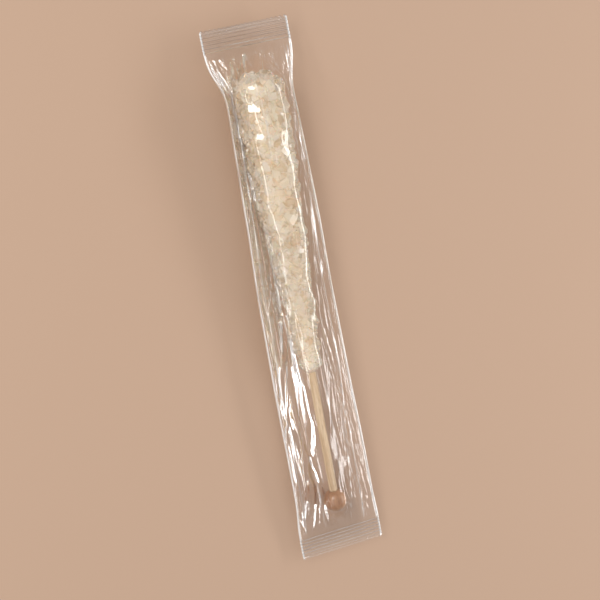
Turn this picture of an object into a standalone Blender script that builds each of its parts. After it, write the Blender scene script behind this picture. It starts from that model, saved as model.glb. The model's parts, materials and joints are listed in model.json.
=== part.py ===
"""Rock candy stick in its clear film sleeve, lying on its back.

A wooden dowel with a wooden ball on one end carries a tapering mass of sugar crystals. The whole
stick is shut in a clear film sleeve: a flat tube, pulled round the candy, with a crimped seal at
each end. The sleeve is made here as one closed body of its outer shape, with a hollow that clears
the stick inside it and a pin hole in its back that lets the air out.

Frame: metres, +Z up. +Y runs along the sleeve towards the thick end of the candy. The origin is on
the surface that the sleeve lies on, below the middle of the sleeve's box.
"""

import math
import random

import bmesh
import bpy
import numpy as np
from mathutils import Matrix, Vector

MM = 0.001

# Driving dimensions
STICK_LENGTH = 165.0 * MM  # ball to candy tip
CANDY_LENGTH = 110.0 * MM
CANDY_THICK_RADIUS = 9.0 * MM  # reach of the crystals near the tip
CANDY_THIN_RADIUS = 3.6 * MM  # reach of the crystals at the handle end
CANDY_TAPER = 1.3  # how the radius falls along the candy: 1 is a straight cone
CANDY_ROUND_TIP = 0.07  # share of the candy's length that rounds the thick end
CANDY_ROUND_FOOT = 0.05  # share that closes the thin end onto the dowel
DOWEL_RADIUS = 1.5 * MM
DOWEL_IN_CANDY_SHORT = 8.0 * MM  # the dowel stops this far inside the candy's tip
DOWEL_IN_BALL = 5.6 * MM
BALL_RADIUS = 4.3 * MM
SLEEVE_LENGTH = 198.0 * MM
SLEEVE_FLAT_WIDTH = 32.0 * MM  # the empty tube, pressed flat
SEAL_LENGTH = 9.0 * MM
FALL_LENGTH = 22.0 * MM  # over which the sleeve falls from the stick to each seal
PLEAT_LENGTH = 16.0 * MM
PLEAT_DEPTH = 0.35 * MM
PLEATS = 5
SEAL_HEIGHT_THICK_END = 6.0 * MM  # how high the seals stay above the surface
SEAL_HEIGHT_BALL_END = 3.4 * MM

# How the pieces meet
GAP = 0.3 * MM
CLEARANCE = 0.5 * MM  # between the stick and the hollow in the sleeve
FILM_WALL = 0.5 * MM  # least wall between the hollow and the outside
SEAL_HALF_THICKNESS = 0.3 * MM
EDGE_HALF_THICKNESS = 0.25 * MM
REST_CUT = 0.35 * MM  # how much the round underside is cut to a flat
VENT_RADIUS = 0.8 * MM
VENT_FROM_BALL = 22.0 * MM
OVERLAP = 0.5 * MM  # how far a cutter runs past what it cuts

# Facets
CRYSTAL_THICK_SIZE = 5.6 * MM
CRYSTAL_THIN_SIZE = 3.6 * MM
CRYSTAL_SIDES = ((0.8, 1.05), (0.95, 1.3), (0.9, 1.1))  # least and most width, length and height
CRYSTAL_LEAN = math.radians(20)  # the most a crystal leans either way
CRYSTAL_CROWDING = 0.8  # crystals in a ring, as a share of those that would fit side by side
ROW_SPACING = 0.9  # between rings of crystals, in crystal sizes
SINK_STEP = 0.1 * MM  # how far a crystal that reaches too far is sunk each time
SINK_STEPS = 60
CORE_SHARE = 0.74  # the smooth core's radius, as a share of the crystals' reach
CORE_RINGS = 10
CORE_STEPS = 12
ROUND_STEPS = 20
FALL_STATIONS = 11
MIDDLE_STATIONS = 10
SLEEVE_COLUMNS = 16
HOLLOW_RINGS = 20
HOLLOW_TIP_SHARE = 0.35  # the flat on the hollow's tip, as a share of the radius there
SEED = 11


def mix(low, high, share):
    """The value a share of the way from low to high."""
    return low + (high - low) * share


def candy_radius(along):
    """Reach of the crystals at a distance along the candy, from its thick tip."""
    t = min(max(along / CANDY_LENGTH, 0.0), 1.0)
    radius = mix(CANDY_THICK_RADIUS, CANDY_THIN_RADIUS, t**CANDY_TAPER)
    if t < CANDY_ROUND_TIP:
        radius *= math.sqrt(max(0.0, 1 - (1 - t / CANDY_ROUND_TIP) ** 2))
    if t > 1 - CANDY_ROUND_FOOT:
        close = (t - 1 + CANDY_ROUND_FOOT) / CANDY_ROUND_FOOT
        radius *= math.sqrt(max(0.0, 1 - 0.7 * close**2))
    return radius


# ---------------------------------------------------------------- the lie of the stick

TIP_Y = STICK_LENGTH / 2
BALL_Y = -STICK_LENGTH / 2 + BALL_RADIUS
THICK_REST_Y = TIP_Y - CANDY_ROUND_TIP * CANDY_LENGTH
THICK_REST_HEIGHT = candy_radius(CANDY_ROUND_TIP * CANDY_LENGTH) + CLEARANCE + FILM_WALL
BALL_REST_HEIGHT = BALL_RADIUS + CLEARANCE + FILM_WALL
AXIS_SLOPE = (THICK_REST_HEIGHT - BALL_REST_HEIGHT) / (THICK_REST_Y - BALL_Y)


def axis_height(y):
    """Height of the stick's own axis above the surface it lies on."""
    return BALL_REST_HEIGHT + AXIS_SLOPE * (y - BALL_Y)


def stick_frame():
    """The stick's own frame: its Y is the dowel's axis, its origin is half way along."""
    tilt = Matrix.Rotation(math.atan(AXIS_SLOPE), 4, "X")
    return Matrix.Translation((0.0, 0.0, axis_height(0.0))) @ tilt


# ---------------------------------------------------------------- shared tools


def clear_scene():
    """Removes whatever the file opened with."""
    for obj in list(bpy.data.objects):
        bpy.data.objects.remove(obj, do_unlink=True)


def new_collection(name):
    """A collection in the scene."""
    collection = bpy.data.collections.new(name)
    bpy.context.scene.collection.children.link(collection)
    return collection


def material(name, colour, roughness, transmission=0.0):
    """A plain finish in the part's own colour."""
    made = bpy.data.materials.new(name)
    made.use_nodes = True
    shader = made.node_tree.nodes["Principled BSDF"]
    shader.inputs["Base Color"].default_value = (*colour, 1.0)
    shader.inputs["Roughness"].default_value = roughness
    shader.inputs["Metallic"].default_value = 0.0
    shader.inputs["Transmission Weight"].default_value = transmission
    return made


def object_of(mesh, name, collection, finish=None):
    """An object for a mesh, in a collection, with one finish."""
    obj = bpy.data.objects.new(name, mesh)
    collection.objects.link(obj)
    if finish:
        mesh.materials.append(finish)
    return obj


def object_of_bmesh(bm, name, collection, finish=None):
    """An object for a bmesh, which it uses up."""
    mesh = bpy.data.meshes.new(name)
    bm.to_mesh(mesh)
    bm.free()
    return object_of(mesh, name, collection, finish)


def lie_with(obj, frame):
    """Parents an object to the stick's frame, with its own numbers kept in that frame."""
    obj.parent = frame
    return obj


def cut(obj, cutter, operation="DIFFERENCE"):
    """A Boolean on obj. The cutter is drawn as wire and never rendered."""
    cutter.hide_render = True
    cutter.display_type = "WIRE"
    modifier = obj.modifiers.new(operation.title(), "BOOLEAN")
    modifier.operation = operation
    modifier.solver = "EXACT"
    modifier.object = cutter
    return modifier


def turned(name, profile, collection, finish=None, steps=ROUND_STEPS):
    """A solid turned about Y from (radius, y) pairs, which run from high y to low y."""
    mesh = bpy.data.meshes.new(name)
    points = [(radius, y, 0.0) for radius, y in profile]
    mesh.from_pydata(points, [(i, i + 1) for i in range(len(points) - 1)], [])
    obj = object_of(mesh, name, collection, finish)
    screw = obj.modifiers.new("Turn", "SCREW")
    screw.axis = "Y"
    screw.steps = steps
    screw.render_steps = steps
    screw.use_merge_vertices = True
    screw.merge_threshold = 0.00001
    screw.use_smooth_shade = True
    return obj


def rod(name, radius, low, high, collection, finish=None, sides=ROUND_STEPS):
    """A cylinder along Y from low to high."""
    bm = bmesh.new()
    lie = Matrix.Translation((0.0, (low + high) / 2, 0.0)) @ Matrix.Rotation(math.pi / 2, 4, "X")
    bmesh.ops.create_cone(
        bm, cap_ends=True, segments=sides, radius1=radius, radius2=radius, depth=high - low, matrix=lie
    )
    return object_of_bmesh(bm, name, collection, finish)


# ---------------------------------------------------------------- the candy


def crystal_size(along):
    """Crystals are coarse at the thick end and fine near the handle."""
    return mix(CRYSTAL_THICK_SIZE, CRYSTAL_THIN_SIZE, along / CANDY_LENGTH)


def facing(along, turn):
    """The way the candy's surface faces at a distance from its tip and a turn about the dowel."""
    step = 0.1 * CANDY_ROUND_TIP * CANDY_LENGTH
    rise = candy_radius(along + step) - candy_radius(along - step)
    return Vector((2 * step * math.cos(turn), rise, 2 * step * math.sin(turn))).normalized()


def is_outside(point):
    """Whether a point in the stick's frame lies beyond the crystals' reach."""
    along = TIP_Y - point.y
    return not 0 < along < CANDY_LENGTH or math.hypot(point.x, point.z) > candy_radius(along)


def add_crystal(bm, spot, outwards, sides, rng):
    """One sugar crystal: a skewed block on end, whose outer face is drawn in to a ridge.

    It leans a little, as sucrose crystals do, and is sunk until no corner is beyond their reach.
    """
    wide, long, tall = sides
    corners = bmesh.ops.create_cube(bm, size=1.0)["verts"]
    ridge = rng.uniform(0.35, 0.7)
    skew = rng.uniform(-0.25, 0.25)
    for corner in corners:
        across = corner.co.x * (ridge if corner.co.z > 0 else 1.0) + skew * corner.co.z
        corner.co = (across * wide, corner.co.y * long, (corner.co.z - 0.5) * tall)
    lean = Matrix.Rotation(rng.uniform(-CRYSTAL_LEAN, CRYSTAL_LEAN), 4, "X")
    lean @= Matrix.Rotation(rng.uniform(-CRYSTAL_LEAN, CRYSTAL_LEAN), 4, "Y")
    spin = Matrix.Rotation(rng.uniform(0, math.pi), 4, "Z")
    stand = outwards.to_track_quat("Z", "Y").to_matrix().to_4x4()
    bmesh.ops.transform(bm, verts=corners, matrix=Matrix.Translation(spot) @ stand @ lean @ spin)
    for _ in range(SINK_STEPS):
        if not any(is_outside(corner.co) for corner in corners):
            break
        bmesh.ops.translate(bm, verts=corners, vec=-SINK_STEP * outwards)


def crystals(collection):
    """All the crystals as loose blocks in one mesh: one on the tip, then row after row of them."""
    rng = random.Random(SEED)
    bm = bmesh.new()
    size = CRYSTAL_THICK_SIZE
    add_crystal(bm, Vector((0.0, TIP_Y, 0.0)), Vector((0.0, 1.0, 0.0)), (size, size, size), rng)
    along = 0.4 * size
    while along < CANDY_LENGTH - 0.75 * CRYSTAL_THIN_SIZE:
        size = crystal_size(along)
        count = max(5, round(2 * math.pi * CRYSTAL_CROWDING * candy_radius(along) / size))
        start = rng.random()
        for i in range(count):
            turn = 2 * math.pi * (start + (i + rng.uniform(-0.2, 0.2)) / count)
            at = max(along + rng.uniform(-0.2, 0.2) * size, 0.3 * size)
            reach = candy_radius(at)
            spot = Vector((reach * math.cos(turn), TIP_Y - at, reach * math.sin(turn)))
            sides = [size * rng.uniform(*spread) for spread in CRYSTAL_SIDES]
            add_crystal(bm, spot, facing(at, turn), sides, rng)
        along += ROW_SPACING * size
    return object_of_bmesh(bm, "crystal_blocks", collection)


def candy(parts, helpers, frame):
    """The crystal mass: a turned core, joined with its crystals, bored for the dowel."""
    finish = material("sugar_crystal", (0.93, 0.9, 0.85), 0.2, 0.4)
    profile = [(0.0, TIP_Y - 0.03 * CANDY_LENGTH)]
    for i in range(1, CORE_RINGS):
        along = CANDY_LENGTH * (0.03 + 0.96 * (i / CORE_RINGS) ** 1.5)
        profile.append((CORE_SHARE * candy_radius(along), TIP_Y - along))
    profile.append((0.0, TIP_Y - CANDY_LENGTH))
    core = lie_with(turned("candy", profile, parts, finish, steps=CORE_STEPS), frame)
    blocks = lie_with(crystals(helpers), frame)
    joined = cut(core, blocks, "UNION")
    joined.use_self = True
    low = TIP_Y - CANDY_LENGTH - CRYSTAL_THIN_SIZE
    bore = rod("dowel_bore", DOWEL_RADIUS + GAP, low, TIP_Y - DOWEL_IN_CANDY_SHORT + GAP, helpers)
    cut(core, lie_with(bore, frame))
    return core


# ---------------------------------------------------------------- the handle


def dowel(parts, frame):
    """The wooden dowel, from inside the ball to inside the candy."""
    finish = material("birch_dowel", (0.80, 0.66, 0.48), 0.6)
    low = BALL_Y + BALL_RADIUS - DOWEL_IN_BALL
    made = rod("dowel", DOWEL_RADIUS, low, TIP_Y - DOWEL_IN_CANDY_SHORT, parts, finish)
    rounded = made.modifiers.new("Worn ends", "BEVEL")
    rounded.width = 0.2 * DOWEL_RADIUS
    rounded.segments = 1
    rounded.limit_method = "ANGLE"
    rounded.angle_limit = math.radians(60)
    return lie_with(made, frame)


def ball(parts, helpers, frame):
    """The wooden ball on the handle's end, with a blind hole for the dowel."""
    finish = material("ball_wood", (0.62, 0.40, 0.26), 0.45)
    bm = bmesh.new()
    bmesh.ops.create_uvsphere(bm, u_segments=ROUND_STEPS, v_segments=ROUND_STEPS // 2, radius=BALL_RADIUS)
    bmesh.ops.rotate(bm, verts=bm.verts, cent=(0, 0, 0), matrix=Matrix.Rotation(math.pi / 2, 3, "X"))
    bmesh.ops.translate(bm, verts=bm.verts, vec=(0.0, BALL_Y, 0.0))
    made = lie_with(object_of_bmesh(bm, "ball", parts, finish), frame)
    hole = rod(
        "ball_hole",
        DOWEL_RADIUS + GAP,
        BALL_Y + BALL_RADIUS - DOWEL_IN_BALL - GAP,
        BALL_Y + 2 * BALL_RADIUS,
        helpers,
    )
    cut(made, lie_with(hole, frame))
    return made


# ---------------------------------------------------------------- the film sleeve


def hull_over(points):
    """The upper side of the convex hull of (y, z) points, as film pulled tight over them lies."""
    kept = []
    for point in sorted(points):
        while len(kept) > 1:
            (y0, z0), (y1, z1) = kept[-2:]
            if (y1 - y0) * (point[1] - z0) - (z1 - z0) * (point[0] - y0) < 0:
                break
            kept.pop()
        kept.append(point)
    return kept


def hollow_radius(y):
    """Radius of the sleeve's hollow about the stick's axis at y, or None where there is none."""
    around_ball = (BALL_RADIUS + CLEARANCE) ** 2 - (y - BALL_Y) ** 2
    if around_ball > 0:
        return math.sqrt(around_ball)
    if TIP_Y < y <= TIP_Y + CLEARANCE:
        return HOLLOW_TIP_SHARE * CANDY_THICK_RADIUS
    if TIP_Y - CANDY_LENGTH <= y <= TIP_Y:
        return max(candy_radius(TIP_Y - y), HOLLOW_TIP_SHARE * CANDY_THIN_RADIUS) + CLEARANCE
    return None


def sleeve_heights():
    """The sleeve's top and underside along y, as two lists of (y, z), pulled over the stick."""
    seal_y = SLEEVE_LENGTH / 2 - SEAL_LENGTH
    seals = [(-seal_y, SEAL_HEIGHT_BALL_END), (seal_y, SEAL_HEIGHT_THICK_END)]
    over = [(y, z + SEAL_HALF_THICKNESS) for y, z in seals]
    under = [(y, SEAL_HALF_THICKNESS - z) for y, z in seals]
    for y in np.linspace(BALL_Y - 2 * BALL_RADIUS, TIP_Y + CLEARANCE, 200):
        radius = hollow_radius(y)
        if radius is not None:
            over.append((y, axis_height(y) + radius + FILM_WALL))
            under.append((y, radius + FILM_WALL - axis_height(y)))
    return hull_over(over), [(y, -z) for y, z in hull_over(under)]


def half_width(rise):
    """Half the sleeve's width where it is 2 * rise high.

    Film doesn't stretch, so the front is always SLEEVE_FLAT_WIDTH round: straight from each side
    crease to a circle of radius rise, and along the circle between. The width that gives this is
    found by halving.
    """
    low, high = rise, SLEEVE_FLAT_WIDTH / 2
    for _ in range(40):
        half = (low + high) / 2
        straight = math.sqrt(half**2 - rise**2)
        bend = math.pi - 2 * math.acos(rise / half)
        if 2 * straight + rise * bend > SLEEVE_FLAT_WIDTH:
            high = half
        else:
            low = half
    return low


def section_rise(x, half, rise):
    """Height of the film above its side creases, at x across a section."""
    touch = rise**2 / half
    if abs(x) <= touch:
        return math.sqrt(rise**2 - x**2)
    at_touch = math.sqrt(rise**2 - touch**2)
    share = (abs(x) - touch) / (half - touch)
    return mix(at_touch, EDGE_HALF_THICKNESS, share)


def pleat(x, y):
    """How far the film waves up and down beside the seals, where flat film meets the round body."""
    from_seal = SLEEVE_LENGTH / 2 - SEAL_LENGTH - abs(y)
    if not 0 < from_seal < PLEAT_LENGTH:
        return 0.0
    fade = math.sin(math.pi * from_seal / PLEAT_LENGTH) ** 2
    return PLEAT_DEPTH * fade * math.cos(2 * math.pi * PLEATS * x / SLEEVE_FLAT_WIDTH)


def sleeve_stations():
    """Places along y for the sleeve's sections: close together where it falls to its seals."""
    end = SLEEVE_LENGTH / 2
    body = end - SEAL_LENGTH
    falls = np.linspace(0.0, FALL_LENGTH, FALL_STATIONS)
    middle = np.linspace(FALL_LENGTH - body, body - FALL_LENGTH, MIDDLE_STATIONS)[1:-1]
    seal = [body + SEAL_LENGTH / 2, end]
    return [-end, -seal[0], *(falls - body), *middle, *(body - falls[::-1]), *seal]


def sleeve_section(y, tops, bottoms):
    """The section at y as two rows of points across the sleeve, front row first."""
    top = float(np.interp(y, *zip(*tops)))
    bottom = float(np.interp(y, *zip(*bottoms)))
    rise = (top - bottom) / 2
    middle = (top + bottom) / 2
    half = half_width(rise)
    body = abs(y) < SLEEVE_LENGTH / 2 - SEAL_LENGTH
    rows = ([], [])
    for i in range(SLEEVE_COLUMNS + 1):
        x = half * (2 * i / SLEEVE_COLUMNS - 1)
        up = section_rise(x, half, rise) if body else SEAL_HALF_THICKNESS
        wave = pleat(x, y)
        rows[0].append((x, y, middle + up + wave))
        rows[1].append((x, y, max(middle - up + wave, bottom + (REST_CUT if body else 0.0))))
    return rows


def sleeve_outside(name, collection, finish):
    """The sleeve's outer shape: a front and a back sheet, joined down both sides and at the ends."""
    tops, bottoms = sleeve_heights()
    rows = [sleeve_section(y, tops, bottoms) for y in sleeve_stations()]
    columns = SLEEVE_COLUMNS + 1
    points = [point for pair in rows for row in pair for point in row]

    def at(station, side, column):
        return (2 * station + side) * columns + column

    faces = []
    for s in range(len(rows) - 1):
        for c in range(SLEEVE_COLUMNS):
            faces.append((at(s, 0, c), at(s, 0, c + 1), at(s + 1, 0, c + 1), at(s + 1, 0, c)))
            faces.append((at(s, 1, c), at(s + 1, 1, c), at(s + 1, 1, c + 1), at(s, 1, c + 1)))
        for c in (0, SLEEVE_COLUMNS):
            side = (at(s, 0, c), at(s + 1, 0, c), at(s + 1, 1, c), at(s, 1, c))
            faces.append(side if c == 0 else side[::-1])
    for s in (0, len(rows) - 1):
        for c in range(SLEEVE_COLUMNS):
            end = (at(s, 0, c), at(s, 1, c), at(s, 1, c + 1), at(s, 0, c + 1))
            faces.append(end if s == 0 else end[::-1])
    mesh = bpy.data.meshes.new(name)
    mesh.from_pydata([(x, y, z - REST_CUT) for x, y, z in points], [], faces)
    mesh.shade_smooth()
    return object_of(mesh, name, collection, finish)


def sleeve_hollow(collection):
    """The cutter for the space that the stick lies in, turned about the stick's axis."""
    profile = [(0.0, TIP_Y + CLEARANCE), (HOLLOW_TIP_SHARE * CANDY_THICK_RADIUS, TIP_Y + CLEARANCE)]
    for i in range(1, HOLLOW_RINGS + 1):
        along = CANDY_LENGTH * math.sin(math.pi / 2 * i / HOLLOW_RINGS) ** 2
        profile.append((candy_radius(along) + CLEARANCE, TIP_Y - along))
    profile.append((DOWEL_RADIUS + 2 * CLEARANCE, TIP_Y - CANDY_LENGTH - 2 * CLEARANCE))
    around = BALL_RADIUS + CLEARANCE
    for i in range(8):
        angle = math.radians(mix(60, -70, i / 7))
        profile.append((around * math.cos(angle), BALL_Y + around * math.sin(angle)))
    profile.append((0.0, BALL_Y - around))
    return turned("sleeve_hollow", profile, collection, steps=16)


def sleeve(parts, helpers, frame):
    """The clear film sleeve, hollow round the stick, with a pin hole through its back."""
    finish = material("clear_film", (0.97, 0.97, 0.97), 0.08, 0.95)
    made = sleeve_outside("sleeve", parts, finish)
    cut(made, lie_with(sleeve_hollow(helpers), frame))
    vent_y = BALL_Y + VENT_FROM_BALL
    bm = bmesh.new()
    bmesh.ops.create_cone(
        bm,
        cap_ends=True,
        segments=12,
        radius1=VENT_RADIUS,
        radius2=VENT_RADIUS,
        depth=axis_height(vent_y) + OVERLAP,
        matrix=Matrix.Translation((0.0, vent_y, (axis_height(vent_y) - OVERLAP) / 2)),
    )
    cut(made, object_of_bmesh(bm, "vent_pin", helpers))
    return made


def main():
    clear_scene()
    parts = new_collection("rock_candy_stick")
    helpers = new_collection("cutters")
    frame = bpy.data.objects.new("stick_axis", None)
    parts.objects.link(frame)
    frame.matrix_world = stick_frame()
    candy(parts, helpers, frame)
    dowel(parts, frame)
    ball(parts, helpers, frame)
    sleeve(parts, helpers, frame)


main()
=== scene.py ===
"""Looks of a rock candy stick in its clear film sleeve.

A wooden dowel with a turned wooden ball carries a tapering mass of sugar crystals. The stick lies
in a clear film sleeve, with a crimped seal at each end. Everything is in metres, +Z up, and +Y runs
along the sleeve towards the thick end of the candy.
"""

from __future__ import annotations

import json
import logging
import math
from dataclasses import dataclass, field
from enum import Enum

import bmesh
import bpy
import numpy as np
from mathutils import Matrix, Vector

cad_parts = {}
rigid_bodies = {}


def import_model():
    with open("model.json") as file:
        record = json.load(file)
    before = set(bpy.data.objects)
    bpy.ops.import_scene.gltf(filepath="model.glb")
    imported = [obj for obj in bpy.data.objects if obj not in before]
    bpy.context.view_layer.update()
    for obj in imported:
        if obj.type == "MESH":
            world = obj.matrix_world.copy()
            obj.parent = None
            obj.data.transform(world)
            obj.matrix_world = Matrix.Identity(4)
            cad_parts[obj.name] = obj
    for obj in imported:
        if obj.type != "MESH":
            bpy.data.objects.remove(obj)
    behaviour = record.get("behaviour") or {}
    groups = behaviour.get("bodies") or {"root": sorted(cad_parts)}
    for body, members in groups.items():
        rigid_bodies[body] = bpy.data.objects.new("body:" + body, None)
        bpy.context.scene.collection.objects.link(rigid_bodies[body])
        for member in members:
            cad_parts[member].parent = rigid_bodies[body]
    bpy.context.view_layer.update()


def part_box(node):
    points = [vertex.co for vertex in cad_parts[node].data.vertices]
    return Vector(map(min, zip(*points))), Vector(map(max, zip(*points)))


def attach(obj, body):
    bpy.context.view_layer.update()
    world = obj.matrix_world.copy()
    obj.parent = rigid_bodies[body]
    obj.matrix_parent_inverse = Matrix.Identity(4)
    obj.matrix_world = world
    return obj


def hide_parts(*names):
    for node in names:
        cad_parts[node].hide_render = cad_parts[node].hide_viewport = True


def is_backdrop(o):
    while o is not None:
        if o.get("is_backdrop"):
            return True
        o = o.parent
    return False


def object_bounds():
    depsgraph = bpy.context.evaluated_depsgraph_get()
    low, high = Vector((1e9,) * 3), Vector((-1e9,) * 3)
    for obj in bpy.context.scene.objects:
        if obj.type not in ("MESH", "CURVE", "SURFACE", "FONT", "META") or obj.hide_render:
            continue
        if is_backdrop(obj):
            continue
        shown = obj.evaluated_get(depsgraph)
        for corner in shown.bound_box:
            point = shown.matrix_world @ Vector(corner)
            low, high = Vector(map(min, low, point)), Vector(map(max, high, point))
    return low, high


LOG = logging.getLogger("rock_candy_stick")
MM = 0.001
BODY = "root"
SUGAR_REFRACTION = 1.54

Colour = tuple[float, float, float, float]


# ---------------------------------------------------------------- shared shapes


def smoothstep(low: float, high: float, value: np.ndarray) -> np.ndarray:
    """Rises from 0 at low to 1 at high along 3t^2 - 2t^3.

    Args:
        low: Where the rise starts.
        high: Where it ends; below low, the step falls instead.
        value: Where it is read.

    Returns:
        The step's height at each value.
    """
    t = np.clip((value - low) / (high - low), 0.0, 1.0)
    return t * t * (3.0 - 2.0 * t)


def lattice_noise(
    rng: np.random.Generator, u: np.ndarray, v: np.ndarray, cells: tuple[int, int]
) -> np.ndarray:
    """Smooth noise: random heights on a lattice, blended between its points by smoothsteps.

    Args:
        rng: Where the random heights come from.
        u: First coordinate, 0 to 1, which wraps round.
        v: Second coordinate, 0 to 1, which doesn't.
        cells: Number of lattice cells along u and v.

    Returns:
        Noise from -1 to 1 at each (u, v).
    """
    across, along = cells
    heights = rng.uniform(-1.0, 1.0, (along + 2, across))
    x = np.mod(u, 1.0) * across
    y = np.clip(v, 0.0, 1.0) * along
    column = np.floor(x).astype(int)
    row = np.floor(y).astype(int)
    right = smoothstep(0.0, 1.0, x - column)
    up = smoothstep(0.0, 1.0, y - row)
    here, beside = column % across, (column + 1) % across
    low = heights[row, here] * (1 - right) + heights[row, beside] * right
    high = heights[row + 1, here] * (1 - right) + heights[row + 1, beside] * right
    return low * (1 - up) + high * up


def grid_quads(rows: int, columns: int, closed: bool) -> np.ndarray:
    """Corner numbers of the faces between the points of a grid.

    Args:
        rows: Number of rows of points.
        columns: Number of points in a row.
        closed: Whether the last column joins the first.

    Returns:
        One row of four point numbers for each face.
    """
    across = np.arange(columns if closed else columns - 1)
    row, column = np.meshgrid(np.arange(rows - 1), across, indexing="ij")
    beside = (column + 1) % columns
    here, next_row = row * columns, (row + 1) * columns
    corners = (here + column, here + beside, next_row + beside, next_row + column)
    return np.stack([corner.ravel() for corner in corners], axis=1)


@dataclass
class Surface:
    """A mesh in the making: its points, its faces and what each point carries."""

    points: np.ndarray
    faces: list[np.ndarray]
    values: dict[str, np.ndarray] = field(default_factory=dict)

    def to_object(self, name: str, finish: bpy.types.Material, smooth: bool) -> bpy.types.Object:
        """Makes the mesh an object of the scene that rides on the stick.

        Args:
            name: The object's name.
            finish: Its material.
            smooth: Whether its faces are shaded smooth.

        Returns:
            The new object.
        """
        mesh = bpy.data.meshes.new(name)
        polygons = [polygon for block in self.faces for polygon in block.tolist()]
        mesh.from_pydata(self.points.tolist(), [], polygons)
        for key, numbers in self.values.items():
            layer = mesh.attributes.new(key, "FLOAT", "POINT")
            layer.data.foreach_set("value", np.asarray(numbers, dtype=np.float32))
        mesh.polygons.foreach_set("use_smooth", np.full(len(mesh.polygons), smooth))
        mesh.materials.append(finish)
        mesh.update()
        obj = bpy.data.objects.new(name, mesh)
        bpy.context.scene.collection.objects.link(obj)
        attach(obj, BODY)
        LOG.info("%s: %d faces", name, len(mesh.polygons))
        return obj


def tint_faces(mesh: bpy.types.Mesh, name: str, value: float) -> None:
    """Gives every face of a mesh the same value of a named attribute."""
    layer = mesh.attributes.new(name, "FLOAT", "FACE")
    layer.data.foreach_set("value", np.full(len(mesh.polygons), value, dtype=np.float32))


def keep_largest(mesh: bpy.types.Mesh) -> None:
    """Drops every loose part of a mesh but the one with the most points.

    Each point starts with its own number and takes the lowest number among its neighbours, until
    every loose part has one number.

    Args:
        mesh: The mesh, which is changed.
    """
    ends = np.empty(2 * len(mesh.edges), dtype=np.int32)
    mesh.edges.foreach_get("vertices", ends)
    ends = ends.reshape(-1, 2)
    label = np.arange(len(mesh.vertices))
    settled = False
    while not settled:
        lowest = label.copy()
        np.minimum.at(lowest, ends, label[ends].min(axis=1)[:, None])
        lowest = lowest[lowest]
        settled = np.array_equal(lowest, label)
        label = lowest
    stray = np.flatnonzero(label != np.bincount(label).argmax())
    work = bmesh.new()
    work.from_mesh(mesh)
    work.verts.ensure_lookup_table()
    bmesh.ops.delete(work, geom=[work.verts[number] for number in stray], context="VERTS")
    work.to_mesh(mesh)
    work.free()


def turned_surface(axis: "StickAxis", radius: np.ndarray, along: np.ndarray, columns: int) -> Surface:
    """A closed turned solid: each row is a circle round the stick, and each end closes in a fan.

    Args:
        axis: The stick's axis.
        radius: Radius at each row, or at each row and column.
        along: Distance of each row from the ball's centre, along the axis.
        columns: Number of points round.

    Returns:
        The surface, its faces outwards.
    """
    angle = np.linspace(0.0, 2.0 * math.pi, columns, endpoint=False)
    reach = np.broadcast_to(radius[:, None] if radius.ndim == 1 else radius, (len(along), columns))
    across = reach * np.cos(angle)
    up = reach * np.sin(angle)
    ring = axis.place(across.ravel(), np.repeat(along, columns), up.ravel())
    ends = axis.place(np.zeros(2), along[[0, -1]], np.zeros(2))
    count = len(ring)
    turn = np.arange(columns)
    beside = (turn + 1) % columns
    last = count - columns
    foot = np.stack([np.full(columns, count), turn, beside], axis=1)
    head = np.stack([np.full(columns, count + 1), last + beside, last + turn], axis=1)
    sides = grid_quads(len(along), columns, closed=True)[:, ::-1]
    return Surface(np.vstack([ring, ends]), [sides, foot, head])


# ---------------------------------------------------------------- the lie of the stick


@dataclass(frozen=True)
class StickAxis:
    """The line down the middle of the dowel, from the ball's centre towards the candy's tip."""

    start: np.ndarray
    direction: np.ndarray
    upwards: np.ndarray

    @classmethod
    def from_frame(cls) -> "StickAxis":
        """Reads the axis from the boxes of the ball and the dowel.

        The dowel is a tilted rod: its box is as high as its rise plus its thickness.

        Returns:
            The axis.
        """
        ball_low, ball_high = (np.array(corner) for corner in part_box("ball"))
        low, high = (np.array(corner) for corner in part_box("dowel"))
        thickness = high[0] - low[0]
        slope = (high[2] - low[2] - thickness) / (high[1] - low[1])
        direction = np.array([0.0, 1.0, slope]) / math.hypot(1.0, slope)
        upwards = np.array([0.0, -slope, 1.0]) / math.hypot(1.0, slope)
        middle = (ball_low + ball_high) / 2
        return cls(np.array([0.0, middle[1], middle[2]]), direction, upwards)

    def place(self, across: np.ndarray, along: np.ndarray, up: np.ndarray) -> np.ndarray:
        """Points in the scene for places on the stick.

        Args:
            across: Distance across the stick, to the right.
            along: Distance along it from the ball's centre.
            up: Distance above it.

        Returns:
            One point for each place.
        """
        lie = np.outer(along, self.direction) + np.outer(up, self.upwards)
        lie[:, 0] += across
        return self.start + lie

    def height(self, y: np.ndarray) -> np.ndarray:
        """Height of the axis at each y."""
        return self.start[2] + self.along_at(y) * self.direction[2]

    def along_at(self, y: float | np.ndarray) -> float | np.ndarray:
        """Distance along the axis, from the ball's centre, at which it reaches each y."""
        return (y - self.start[1]) / self.direction[1]


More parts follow.
